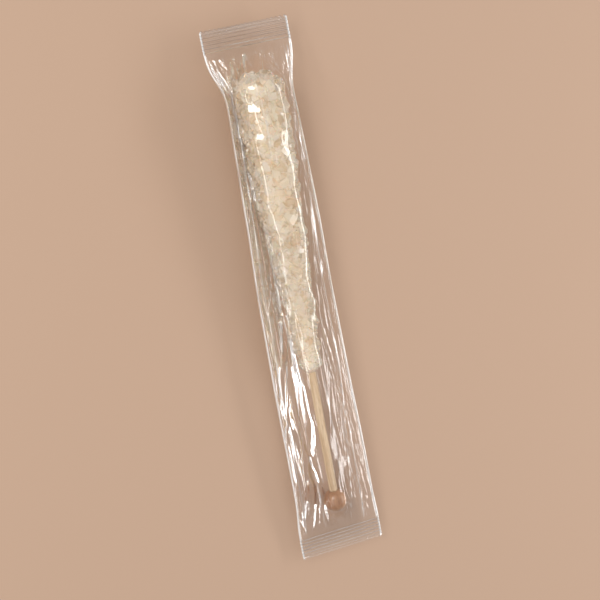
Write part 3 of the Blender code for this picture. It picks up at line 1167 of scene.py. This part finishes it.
@dataclass
class Handle:
    """The wooden dowel and the turned ball on its end."""

    axis: StickAxis
    columns: int = 64
    rod_rows: int = 60
    ball_rows: int = 80
    edge_rows: int = 5
    edge_round: float = 0.25 * MM
    hole_slack: float = 0.08 * MM
    lip_width: float = 0.3 * MM
    lip_drop: float = 0.12 * MM
    hole_depth: float = 1.3
    hole_centre: float = 0.02 * MM
    pole_flat: float = 0.02
    tool_rings: float = 60.0
    tool_depth: float = 0.0016

    def dowel(self) -> bpy.types.Object:
        """A straight rod with rounded ends: a quarter circle of the edge radius at each end.

        Returns:
            The dowel.
        """
        low, high = (np.array(corner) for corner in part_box("dowel"))
        radius = (high[0] - low[0]) / 2
        start, end = self.axis.along_at(low[1]), self.axis.along_at(high[1])
        quarter = np.linspace(0.0, math.pi / 2, self.edge_rows)
        inset = self.edge_round * (1 - np.sin(quarter))
        step = self.edge_round * (1 - np.cos(quarter))
        middle = np.linspace(start + self.edge_round, end - self.edge_round, self.rod_rows)[1:-1]
        along = np.concatenate([start + step, middle, end - step[::-1]])
        rings = np.concatenate([radius - inset, np.full(len(middle), radius), radius - inset[::-1]])
        surface = turned_surface(self.axis, rings, along, self.columns)
        return surface.to_object("birch_dowel", WoodFinish("birch").material(), smooth=True)

    def ball(self) -> bpy.types.Object:
        """A turned ball: a sphere with faint tool rings, a small flat at its pole and a rounded hole.

        The outline runs up the sphere to the mouth of the hole, over its rounded lip and down to
        the hole's floor, whose depth is in radii below the top of the ball.

        Returns:
            The ball.
        """
        low, high = (np.array(corner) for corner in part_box("ball"))
        radius = (high[0] - low[0]) / 2
        dowel_low, dowel_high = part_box("dowel")
        hole = (dowel_high[0] - dowel_low[0]) / 2 + self.hole_slack
        mouth = math.asin(min(1.0, (hole + self.lip_width) / radius))
        angle = np.linspace(self.pole_flat - math.pi / 2, math.pi / 2 - mouth, self.ball_rows)
        tool = 1 + self.tool_depth * np.sin(angle * self.tool_rings) * np.cos(angle)
        outer = radius * np.cos(angle) * tool
        along = radius * np.sin(angle) * tool
        edge = np.linspace(0.0, math.pi / 2, self.edge_rows + 1)[1:]
        lip = hole + self.lip_width * (1 - np.sin(edge))
        drop = along[-1] - self.lip_drop * (1 - np.cos(edge))
        floor = np.full(2, radius * (1 - self.hole_depth))
        rings = np.concatenate([outer, lip, [hole, self.hole_centre]])
        surface = turned_surface(self.axis, rings, np.concatenate([along, drop, floor]), self.columns)
        finish = WoodFinish(
            "turned_ball",
            pale=rgb(0.50, 0.27, 0.14),
            dark=rgb(0.36, 0.17, 0.08),
            pore=rgb(0.16, 0.07, 0.03),
            bands=420.0,
            roughness=(0.3, 0.5),
            coat=0.4,
        )
        return surface.to_object("turned_ball", finish.material(), smooth=True)

    def build(self) -> list[bpy.types.Object]:
        """Makes both pieces in place of the plain ones.

        Returns:
            The dowel and the ball.
        """
        rod = self.dowel()
        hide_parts("dowel")
        knob = self.ball()
        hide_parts("ball")
        return [rod, knob]


# ---------------------------------------------------------------- the film sleeve


def soft_blur(values: np.ndarray, places: np.ndarray, reach: float) -> np.ndarray:
    """Blurs rows of values by a bell curve over the rows' places, which needn't be evenly spaced.

    Args:
        values: The values, one row for each place.
        places: Where the rows are.
        reach: The bell's standard deviation.

    Returns:
        The blurred values.
    """
    weights = np.exp(-0.5 * ((places[:, None] - places[None, :]) / reach) ** 2)
    return (weights / weights.sum(axis=1, keepdims=True)) @ values


def widened(heights: np.ndarray, cells: int) -> np.ndarray:
    """The highest value within a number of cells of each cell of a map.

    Args:
        heights: The map.
        cells: How far it looks, along both axes.

    Returns:
        The new map.
    """
    rows, columns = heights.shape
    padded = np.pad(heights, cells, mode="edge")
    steps = range(2 * cells + 1)
    return np.max([padded[i : i + rows, j : j + columns] for i in steps for j in steps], axis=0)


def mesh_points(obj: bpy.types.Object) -> np.ndarray:
    """Places all over a mesh: its points and the middles of its edges and faces.

    Args:
        obj: The object.

    Returns:
        The places.
    """
    mesh = obj.data
    corners = np.empty(3 * len(mesh.vertices), dtype=np.float32)
    mesh.vertices.foreach_get("co", corners)
    corners = corners.reshape(-1, 3).astype(float)
    ends = np.empty(2 * len(mesh.edges), dtype=np.int32)
    mesh.edges.foreach_get("vertices", ends)
    middles = np.empty(3 * len(mesh.polygons), dtype=np.float32)
    mesh.polygons.foreach_get("center", middles)
    return np.vstack([corners, corners[ends.reshape(-1, 2)].mean(axis=1), middles.reshape(-1, 3)])


class Side(Enum):
    """The two sheets of the sleeve: the one on top and the one underneath."""

    FRONT = 1
    BACK = -1


@dataclass
class Contents:
    """Film drawn taut over and under what lies in the sleeve, as heights over a grid of x and y."""

    x: np.ndarray
    y: np.ndarray
    top: np.ndarray
    under: np.ndarray

    @classmethod
    def from_pieces(
        cls,
        pieces: list[bpy.types.Object],
        cell: float,
        tension: tuple[float, float],
        rounds: int,
        softness: tuple[float, float],
    ) -> "Contents":
        """Draws film taut over the pieces and, mirrored, under them.

        The film starts as the highest point in and round each cell. In each round it is blurred by
        a bell curve, wider along the sleeve than across it, and then lifted back to those points,
        so that it ends up resting on the peaks and bridging from one to the next.

        Args:
            pieces: The meshes in the sleeve.
            cell: Size of a cell.
            tension: How far each blur reaches, along x and y.
            rounds: Number of rounds.
            softness: How far the last blur reaches, after which the film isn't lifted again.

        Returns:
            The two sheets' heights.
        """
        low, high = (np.array(corner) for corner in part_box("sleeve"))
        x, y = (np.arange(low[i], high[i] + cell, cell) for i in range(2))
        sheets = cls(x, y, np.zeros((len(y), len(x))), np.zeros((len(y), len(x))))
        points = np.vstack([mesh_points(piece) for piece in pieces])
        column = np.clip(np.rint((points[:, 0] - low[0]) / cell).astype(int), 0, len(x) - 1)
        row = np.clip(np.rint((points[:, 1] - low[1]) / cell).astype(int), 0, len(y) - 1)
        for side in Side:
            level = points[:, 2] if side is Side.FRONT else high[2] - points[:, 2]
            peaks = np.full((len(y), len(x)), -2 * cell)
            np.maximum.at(peaks, (row, column), level)
            peaks = widened(peaks, 2)
            height = peaks
            for _ in range(rounds):
                height = np.maximum(sheets.blurred(height, tension), peaks)
            height = sheets.blurred(height, softness)
            if side is Side.FRONT:
                sheets.top = height
            else:
                sheets.under = high[2] - height
        return sheets

    def blurred(self, heights: np.ndarray, reach: tuple[float, float]) -> np.ndarray:
        """A map blurred along x and along y, each by its own reach."""
        return soft_blur(soft_blur(heights, self.y, reach[1]).T, self.x, reach[0]).T

    def at(self, heights: np.ndarray, x: np.ndarray, y: np.ndarray) -> np.ndarray:
        """Reads a map between its cells, by a straight blend along x and along y.

        Args:
            heights: The map.
            x: Where it is read.
            y: Where it is read.

        Returns:
            The height at each place.
        """
        column = np.clip((x - self.x[0]) / (self.x[1] - self.x[0]), 0, len(self.x) - 1.001)
        row = np.clip((y - self.y[0]) / (self.y[1] - self.y[0]), 0, len(self.y) - 1.001)
        c, r = column.astype(int), row.astype(int)
        right, up = column - c, row - r
        low = heights[r, c] * (1 - right) + heights[r, c + 1] * right
        high = heights[r + 1, c] * (1 - right) + heights[r + 1, c + 1] * right
        return low * (1 - up) + high * up


@dataclass(frozen=True)
class Pleat:
    """A lengthwise fold in the front sheet: a low ridge that runs from seal to seal.

    Its places are shares of the flat width from the middle, at the thin end and at the thick end.
    """

    thin_end: float
    thick_end: float
    half_width: float
    height: float
    sway: float


PLEATS = {
    Side.FRONT: (
        Pleat(0.30, 0.43, 1.5 * MM, 0.8 * MM, 0.5 * MM),
        Pleat(-0.42, -0.40, 1.1 * MM, 0.6 * MM, 0.4 * MM),
        Pleat(-0.18, -0.33, 0.8 * MM, 0.35 * MM, 0.7 * MM),
    ),
    Side.BACK: (),
}


@dataclass(frozen=True)
class FlatPlaces:
    """Places on a sheet while it is flat.

    They are s across the film from its middle and y along it, both also as shares of its width and
    length, and the distances from the nearer end and from the nearer seal.
    """

    s: np.ndarray
    y: np.ndarray
    across: np.ndarray
    along: np.ndarray
    from_end: np.ndarray
    from_seal: np.ndarray


@dataclass(frozen=True)
class Wrinkles:
    """How a sheet stands off its taut shape.

    It has lengthwise streaks on its loose wings, folds that spread from the seals, sharp creases
    and pleats. A wing is given by how far from the middle it starts and is fully loose, and the
    side fading by where the wrinkles are gone and where they are whole, all in flat widths. A share
    of the creases is raised, and the others are sunk.
    """

    wing: tuple[float, float] = (0.20, 0.36)
    side_fading: tuple[float, float] = (0.5, 0.46)
    streak_height: float = 0.16 * MM
    streak_drift: float = 0.02
    taut_share: float = 0.25
    fold_height: float = 0.6 * MM
    fold_fade: float = 10.0 * MM
    fan_reach: float = 20.0 * MM
    count: int = 120
    lean: float = 0.16
    reach: tuple[float, float] = (10.0 * MM, 55.0 * MM)
    width: tuple[float, float] = (0.6 * MM, 2.2 * MM)
    depth: tuple[float, float] = (0.06 * MM, 0.34 * MM)
    raised: float = 0.65
    line: float = 0.35 * MM
    clear_of_seal: float = 2.0 * MM

    def over(
        self, places: FlatPlaces, flat_width: float, side: Side, seed: int
    ) -> tuple[np.ndarray, np.ndarray]:
        """Every kind of wrinkle over one sheet.

        Args:
            places: Where it is wanted.
            flat_width: The film's width.
            side: Which sheet.
            seed: What its random numbers start from.

        Returns:
            The height off the taut shape, and the creasing from 0 to 1.
        """
        rng = np.random.default_rng(seed + side.value)
        height = self.streaks(rng, places) + self.folds(rng, places)
        crease, crease_sharp = self.creases(rng, places, flat_width)
        pleat, pleat_sharp = self.pleats(rng, places, flat_width, side)
        edge = smoothstep(*self.side_fading, np.abs(places.across - 0.5))
        body = smoothstep(0.0, self.clear_of_seal, places.from_seal)
        return (height + crease + pleat) * edge * body, np.maximum(crease_sharp, pleat_sharp) * body

    def streaks(self, rng: np.random.Generator, places: FlatPlaces) -> np.ndarray:
        """Fine lengthwise streaks, deeper on the loose wings than over the stick.

        Args:
            rng: Where the random heights come from.
            places: Where they are wanted.

        Returns:
            Their height at each place.
        """
        wing = smoothstep(*self.wing, np.abs(places.across - 0.5))
        sway = lattice_noise(rng, places.across, places.along, (3, 4))
        drift = places.across + self.streak_drift * sway
        broad = lattice_noise(rng, drift, places.along, (30, 4))
        fine = lattice_noise(rng, drift, places.along, (64, 7))
        depth = self.taut_share + (1 - self.taut_share) * wing
        return self.streak_height * (broad + 0.5 * fine) * depth

    def folds(self, rng: np.random.Generator, places: FlatPlaces) -> np.ndarray:
        """Folds that fan out from the seals and die away.

        Args:
            rng: Where the random heights come from.
            places: Where they are wanted.

        Returns:
            Their height at each place.
        """
        fade = np.exp(-np.maximum(places.from_seal, 0.0) / self.fold_fade)
        fade = fade * smoothstep(0.0, 2 * self.clear_of_seal, places.from_seal)
        spread = 1 + 0.9 * np.clip(places.from_seal / self.fan_reach, 0.0, 1.0)
        fan = (places.across - 0.5) * spread + 0.5
        ridges = np.abs(lattice_noise(rng, fan, 0.25 + 0.5 * places.along, (15, 7)))
        return self.fold_height * fade * (1.6 * ridges - 0.5)

    def creases(
        self, rng: np.random.Generator, places: FlatPlaces, flat_width: float
    ) -> tuple[np.ndarray, np.ndarray]:
        """Sharp creases: each is a tent over a straight line on the flat film, fading at its ends.

        Args:
            rng: Where the random lines come from.
            places: Where they are wanted.
            flat_width: The film's width.

        Returns:
            The creases' summed height, and the sharpest creasing from 0 to 1.
        """
        height = np.zeros_like(places.s)
        sharp = np.zeros_like(places.s)
        for _ in range(self.count):
            centre_s = rng.uniform(-0.5, 0.5) * flat_width
            centre_y = rng.uniform(places.y.min(), places.y.max())
            heading = rng.normal(0.0, self.lean)
            reach = rng.uniform(*self.reach)
            width = rng.uniform(*self.width)
            depth = rng.uniform(*self.depth)
            sign = rng.choice((-1.0, 1.0), p=(1 - self.raised, self.raised))
            ds, dy = places.s - centre_s, places.y - centre_y
            off = np.abs(ds * math.cos(heading) - dy * math.sin(heading))
            run = np.abs(ds * math.sin(heading) + dy * math.cos(heading))
            fading = smoothstep(1.0, 0.3, run / reach)
            height += sign * depth * np.maximum(0.0, 1 - off / width) * fading
            drawn = smoothstep(self.line, 0.0, off) * fading * depth / self.depth[1]
            sharp = np.maximum(sharp, drawn)
        return height, sharp

    @staticmethod
    def pleats(
        rng: np.random.Generator, places: FlatPlaces, flat_width: float, side: Side
    ) -> tuple[np.ndarray, np.ndarray]:
        """A sheet's pleats: the root of a tent over a swaying line from seal to seal.

        Args:
            rng: Where the random sway comes from.
            places: Where they are wanted.
            flat_width: The film's width.
            side: Which sheet.

        Returns:
            The pleats' summed height, and the sharpest creasing from 0 to 1.
        """
        height = np.zeros_like(places.s)
        sharp = np.zeros_like(places.s)
        for pleat in PLEATS[side]:
            middle = pleat.thin_end + (pleat.thick_end - pleat.thin_end) * places.along
            sway = pleat.sway * lattice_noise(rng, 0 * places.s, places.along, (1, 5))
            off = np.abs(places.s - middle * flat_width - sway) / pleat.half_width
            ridge = np.sqrt(np.clip(1 - off, 0.0, 1.0))
            swell = 0.7 + 0.3 * lattice_noise(rng, 0 * places.s, places.along, (1, 9))
            height += pleat.height * ridge * swell
            sharp = np.maximum(sharp, 0.9 * smoothstep(0.45, 0.0, off))
        return height, sharp


@dataclass
class Sleeve:
    """The film: two sheets pulled over the stick, joined down both sides and sealed at both ends."""

    candy: Candy
    contents: Contents
    wrinkles: Wrinkles = field(default_factory=Wrinkles)
    flat_width: float = 32.0 * MM
    seal_length: float = 9.0 * MM
    seal_heights: tuple[float, float] = (3.4 * MM, 6.0 * MM)
    tightness: float = 0.2 * MM
    bend: float = 3.0 * MM
    sway: float = 0.5 * MM
    clear_of_sugar: float = 0.3 * MM
    ease: float = 0.12 * MM
    sheet_gap: float = 0.05 * MM
    floor_gap: float = 0.08 * MM
    fold_radius: float = 0.45 * MM
    fold_flattened: float = 0.85
    crease_reach: tuple[float, float] = (2.2, 0.6)
    wrinkle_whiteness: float = 0.6
    seal_edge: float = 1.2 * MM
    seal_level: float = 0.6
    rib_pitch: float = 1.25 * MM
    rib_depth: float = 0.2 * MM
    tooth_pitch: float = 1.6 * MM
    tooth_depth: float = 0.8 * MM
    tooth_reach: float = 2.5 * MM
    seal_rows: int = 72
    body_rows: int = 280
    columns: int = 96
    line_steps: int = 600
    halvings: int = 40
    seed: int = 23
    end_low: float = 0.0
    end_high: float = 0.0
    ball_radius: float = 0.0

    def __post_init__(self) -> None:
        """Reads the sleeve's ends and the ball's radius from their boxes."""
        low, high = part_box("sleeve")
        self.end_low, self.end_high = low[1], high[1]
        ball_low, ball_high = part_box("ball")
        self.ball_radius = (ball_high[0] - ball_low[0]) / 2

    def reach(self, y: np.ndarray) -> np.ndarray:
        """Radius of what lies in the sleeve: the candy's, or the circle's that cuts the ball there.

        Args:
            y: Where it is wanted.

        Returns:
            The radius at each y, or -1 where there is nothing large.
        """
        axis, shape = self.candy.axis, self.candy.shape
        along = self.candy.tip_along - axis.along_at(y)
        candy = np.where((along >= 0) & (along <= shape.length), shape.radius(along), -1.0)
        from_ball = self.ball_radius**2 - (y - axis.start[1]) ** 2
        ball = np.where(from_ball > 0, np.sqrt(np.maximum(from_ball, 0.0)), -1.0)
        return np.maximum(candy, ball)

    @staticmethod
    def pulled_over(y: np.ndarray, z: np.ndarray, at: np.ndarray) -> np.ndarray:
        """Height of a taut film over points: the upper side of their convex hull.

        Args:
            y: Places of the points, rising.
            z: Their heights.
            at: Where the film's height is wanted.

        Returns:
            The film's height at each place.
        """
        kept: list[int] = []
        for i in range(len(y)):
            while len(kept) > 1:
                a, b = kept[-2:]
                if (y[b] - y[a]) * (z[i] - z[a]) - (z[b] - z[a]) * (y[i] - y[a]) < 0:
                    break
                kept.pop()
            kept.append(i)
        return np.interp(at, y[kept], z[kept])

    def heights(self, y: np.ndarray) -> tuple[np.ndarray, np.ndarray]:
        """Top and underside of the sleeve, pulled over the stick from seal to seal.

        Film is springy, so the pulled line is blurred over its bends. It runs level in the outer
        part of the seals.

        Args:
            y: Where they are wanted.

        Returns:
            The two heights at each y.
        """
        low, high = self.end_low + self.seal_length, self.end_high - self.seal_length
        places = np.linspace(low, high, 500)
        reach = self.reach(places)
        holds = reach > 0
        middle = self.candy.axis.height(places)
        over_y = np.concatenate([places[holds], [low, high]])
        order = np.argsort(over_y, kind="stable")
        seal = np.array(self.seal_heights)
        top = np.concatenate([(middle + reach)[holds] - self.tightness, seal + self.sheet_gap])
        under = np.concatenate([np.full(holds.sum(), -self.floor_gap), self.sheet_gap - seal])
        even = np.linspace(self.end_low, self.end_high, self.line_steps)
        rise = self.pulled_over(over_y[order], top[order], even)
        fall = -self.pulled_over(over_y[order], under[order], even)
        rise, fall = soft_blur(np.stack([rise, fall], axis=1), even, self.bend).T
        from_end = np.minimum(even - self.end_low, self.end_high - even)
        in_seal = smoothstep(self.seal_length, self.seal_level * self.seal_length, from_end)
        level = np.where(even < 0, *self.seal_heights)
        rise = rise * (1 - in_seal) + (level + self.sheet_gap) * in_seal
        fall = fall * (1 - in_seal) + (level - self.sheet_gap) * in_seal
        fall = np.minimum(fall, rise - 2 * self.sheet_gap)
        return np.interp(y, even, rise), np.interp(y, even, fall)

    def half_width(self, rise: np.ndarray) -> np.ndarray:
        """Half the sleeve's width where it is 2 * rise high, found by halving.

        Film doesn't stretch: each sheet is flat_width across, straight from a side crease to a
        circle of radius rise, and along the circle between.

        Args:
            rise: Half the sleeve's height.

        Returns:
            Half its width.
        """
        low, high = rise.copy(), np.full_like(rise, self.flat_width / 2)
        for _ in range(self.halvings):
            half = (low + high) / 2
            straight = np.sqrt(np.maximum(half**2 - rise**2, 0.0))
            across = 2 * straight + rise * (math.pi - 2 * np.arccos(np.clip(rise / half, 0, 1)))
            wide = across > self.flat_width
            high = np.where(wide, half, high)
            low = np.where(wide, low, half)
        return low

    @staticmethod
    def section(s: np.ndarray, rise: np.ndarray, half: np.ndarray) -> tuple[np.ndarray, np.ndarray]:
        """Bends a sheet round the stick: it follows the circle, then runs straight to the crease.

        Args:
            s: Distance across the flat film.
            rise: Half the sleeve's height there.
            half: Half its width.

        Returns:
            The place's x, and its height over the side creases.
        """
        touch = np.arcsin(np.clip(rise / half, 0, 1))
        distance = np.abs(s)
        turn = np.minimum(distance / rise, touch)
        beyond = np.maximum(distance - rise * touch, 0.0)
        across = rise * np.sin(turn) + beyond * np.cos(touch)
        up = rise * np.cos(turn) - beyond * np.sin(touch)
        return np.sign(s) * across, up

    def flat_places(self) -> FlatPlaces:
        """A sheet's grid of places, rows along y and columns across it.

        Rows are closer together in the seals, for their ribs, and columns towards the side creases.

        Returns:
            The places.
        """
        seal = np.linspace(0.0, self.seal_length, self.seal_rows)
        low, high = self.end_low + self.seal_length, self.end_high - self.seal_length
        body = np.linspace(low, high, self.body_rows)
        rows = np.concatenate([self.end_low + seal[:-1], body, self.end_high - seal[::-1][1:]])
        u = np.linspace(-1.0, 1.0, self.columns)
        s, y = np.meshgrid(self.flat_width / 2 * np.sin(math.pi / 2 * u), rows)
        along = (y - self.end_low) / (self.end_high - self.end_low)
        from_end = np.minimum(y - self.end_low, self.end_high - y)
        return FlatPlaces(s, y, s / self.flat_width + 0.5, along, from_end, from_end - self.seal_length)

    def parted(self, inset: np.ndarray, in_seal: np.ndarray) -> np.ndarray:
        """How far a sheet is from the middle of the film beside a side crease.

        The two sheets lie together but for the crease itself, which is a bead: a half circle of
        the fold's radius, pressed flat in the seals.

        Args:
            inset: Distance in from the crease, in radii of the fold.
            in_seal: 1 in the seals and 0 outside them.

        Returns:
            The distance.
        """
        bead = self.fold_radius * np.sqrt(np.clip(1 - (inset - 1) ** 2, 0.0, 1.0))
        bead = bead * smoothstep(3.5, 1.0, inset) * (1 - self.fold_flattened * in_seal)
        return np.where(inset > 1, np.maximum(bead, self.sheet_gap), bead)

    def kept_above(self, height: np.ndarray, rest: np.ndarray) -> np.ndarray:
        """The higher of two heights, eased together where they are near by the log of summed powers."""
        return np.logaddexp(height / self.ease, rest / self.ease) * self.ease

    def sheet(self, side: Side) -> tuple[np.ndarray, np.ndarray]:
        """One sheet: its taut shape with its wrinkles, kept clear of the sugar and of the floor.

        The seals are ribbed across the sleeve, and their ends are cut to teeth.

        Args:
            side: Which sheet.

        Returns:
            The points, in rows along y and columns across, and how creased the film is at each.
        """
        flat = self.flat_places()
        rng = np.random.default_rng(self.seed)
        top, bottom = self.heights(flat.y[:, 0])
        rise = np.maximum((top - bottom) / 2, self.sheet_gap)
        middle = ((top + bottom) / 2)[:, None]
        x, up = self.section(flat.s, rise[:, None], self.half_width(rise)[:, None])
        sway = lattice_noise(rng, 0 * flat.s, flat.along, (1, 6)) * np.sin(math.pi * flat.along)
        x = x + self.sway * sway
        inset = (self.flat_width / 2 - np.abs(flat.s)) / self.fold_radius
        in_seal = smoothstep(0.0, self.seal_edge, -flat.from_seal)
        wrinkle, sharp = self.wrinkles.over(flat, self.flat_width, side, self.seed)
        off = np.maximum(up, 0.0) + self.parted(inset, in_seal) + wrinkle
        height = middle + side.value * off
        if side is Side.FRONT:
            rest = self.contents.at(self.contents.top, x, flat.y) + self.clear_of_sugar
            height = self.kept_above(height, rest)
        else:
            rest = self.contents.at(self.contents.under, x, flat.y) - self.clear_of_sugar
            height = -self.kept_above(-height, -rest)
        height += in_seal * self.rib_depth * np.sin(2 * math.pi * flat.y / self.rib_pitch)
        tooth = self.tooth_depth * np.abs(2 * np.mod(flat.s / self.tooth_pitch, 1.0) - 1.0)
        inwards = np.where(flat.y < 0, 1.0, -1.0) * smoothstep(self.tooth_reach, 0.0, flat.from_end)
        y = flat.y + tooth * inwards
        fold = 0.8 + 0.2 * lattice_noise(rng, 0 * flat.s, flat.along, (1, 23))
        crease = smoothstep(*self.crease_reach, inset) * fold
        crease = np.maximum(crease, self.wrinkle_whiteness * sharp)
        return np.stack([x, y, np.maximum(height, self.floor_gap)], axis=-1), crease

    def build(self) -> None:
        """Joins both sheets into one closed film, in place of the thick-walled sleeve."""
        front, front_crease = self.sheet(Side.FRONT)
        back, back_crease = self.sheet(Side.BACK)
        back[..., 2] = np.minimum(back[..., 2], front[..., 2] - self.sheet_gap)
        loop = np.concatenate([front, back[:, ::-1][:, 1:-1]], axis=1)
        crease = np.concatenate([front_crease, back_crease[:, ::-1][:, 1:-1]], axis=1)
        count, columns = loop.shape[:2]
        blocks = [grid_quads(count, columns, closed=True)]
        for row, flip in ((0, 1), (count - 1, -1)):
            blocks += [row * columns + face[:, ::flip] for face in self.end_faces(columns)]
        surface = Surface(loop.reshape(-1, 3), blocks, {"crease": crease.ravel()})
        film = surface.to_object("film_sleeve", FilmFinish("sleeve_film").material(), smooth=True)
        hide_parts("sleeve")

    def end_faces(self, columns: int) -> list[np.ndarray]:
        """The faces that close one end between the sheets.

        Args:
            columns: Number of points round the film.

        Returns:
            Point numbers of a triangle at each side crease, with quads between them.
        """
        across = np.arange(self.columns - 1)
        partner = (columns - np.arange(self.columns)) % columns
        quads = np.stack([across, partner[across], partner[across + 1], across + 1], axis=1)
        first, last = ([list(dict.fromkeys(quads[end].tolist()))] for end in (0, -1))
        return [np.array(first), quads[1:-1], np.array(last)]


# ---------------------------------------------------------------- the stage


@dataclass(frozen=True)
class Softbox:
    """One area light, aimed at the stick."""

    name: str
    place: tuple[float, float, float]
    length: float
    width: float
    power: float
    tint: tuple[float, float, float] = (1.0, 1.0, 1.0)

    def build(self) -> None:
        """Adds the light, its length level, so along the stick for a light at its side."""
        light = bpy.data.lights.new(self.name, "AREA")
        light.shape = "RECTANGLE"
        light.size, light.size_y = self.length, self.width
        light.energy = self.power
        light.color = self.tint
        obj = bpy.data.objects.new(self.name, light)
        obj.location = self.place
        obj.rotation_euler = (-Vector(self.place)).to_track_quat("-Z", "Y").to_euler()
        bpy.context.scene.collection.objects.link(obj)


@dataclass
class Studio:
    """The floor, the lights and the camera."""

    camera_from: tuple[float, float, float] = (-0.27, 0.225, 0.937)
    lean: float = math.radians(11)
    frame_height: float = 0.214
    lens: float = 85.0
    sensor: float = 36.0
    lights: tuple[Softbox, ...] = (
        Softbox("key_softbox", (-0.45, 0.45, 0.60), 0.22, 0.22, 2.7, (1.0, 0.97, 0.93)),
        Softbox("right_softbox", (0.55, -0.1, 0.28), 0.8, 0.10, 2.4),
        Softbox("left_softbox", (-0.50, -0.1, 0.42), 0.8, 0.05, 1.0),
    )
    floor_reach: float = 3.0
    floor_points: int = 7
    world_light: float = 0.66
    world_tint: Colour = rgb(1.0, 0.99, 0.98)

    def floor(self) -> None:
        """A broad flat floor, one grid of faces at height 0."""
        reach = np.linspace(-self.floor_reach, self.floor_reach, self.floor_points)
        x, y = np.meshgrid(reach, reach)
        points = np.stack([x.ravel(), y.ravel(), 0 * x.ravel()], axis=1)
        mesh = bpy.data.meshes.new("studio_floor")
        faces = grid_quads(self.floor_points, self.floor_points, closed=False)
        mesh.from_pydata(points.tolist(), [], faces.tolist())
        mesh.materials.append(FloorFinish("studio_floor").material())
        obj = bpy.data.objects.new("studio_floor", mesh)
        bpy.context.scene.collection.objects.link(obj)
        obj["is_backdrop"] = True

    def camera(self) -> None:
        """Looks down on the stick with its thick end at the top of the picture, leaning left.

        The picture's upward direction is the stick's own, turned by the lean about the view.
        """
        low, high = (Vector(corner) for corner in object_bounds())
        towards = Vector(self.camera_from).normalized()
        along = Vector((0.0, 1.0, 0.0))
        flat = (along - along.dot(towards) * towards).normalized()
        upwards = flat * math.cos(self.lean) - towards.cross(flat) * math.sin(self.lean)
        right = upwards.cross(towards)
        place = Matrix((right, upwards, towards)).transposed().to_4x4()
        place.translation = (low + high) / 2 + towards * self.frame_height * self.lens / self.sensor
        data = bpy.data.cameras.new("camera")
        data.lens = self.lens
        data.sensor_width = self.sensor
        obj = bpy.data.objects.new("camera", data)
        obj.matrix_world = place
        bpy.context.scene.collection.objects.link(obj)
        bpy.context.scene.camera = obj

    def world(self) -> None:
        """Even light from all round."""
        world = bpy.data.worlds.new("studio_light")
        world.use_nodes = True
        background = world.node_tree.nodes["Background"]
        background.inputs["Color"].default_value = self.world_tint
        background.inputs["Strength"].default_value = self.world_light
        bpy.context.scene.world = world
        bpy.context.scene.view_settings.view_transform = "Standard"

    def build(self) -> None:
        """Sets the stage."""
        self.floor()
        self.camera()
        self.world()
        for light in self.lights:
            light.build()


def main() -> None:
    """Loads the frame, builds every piece round it and sets the stage."""
    logging.basicConfig(level=logging.INFO, format="%(name)s: %(message)s")
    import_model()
    axis = StickAxis.from_frame()
    candy = Candy(axis)
    inside = [candy.build(), *Handle(axis).build()]
    contents = Contents.from_pieces(
        inside, cell=0.5 * MM, tension=(0.8 * MM, 3.0 * MM), rounds=12, softness=(0.75 * MM, 1.5 * MM)
    )
    Sleeve(candy, contents).build()
    Studio().build()


if __name__ == "__main__":
    main()
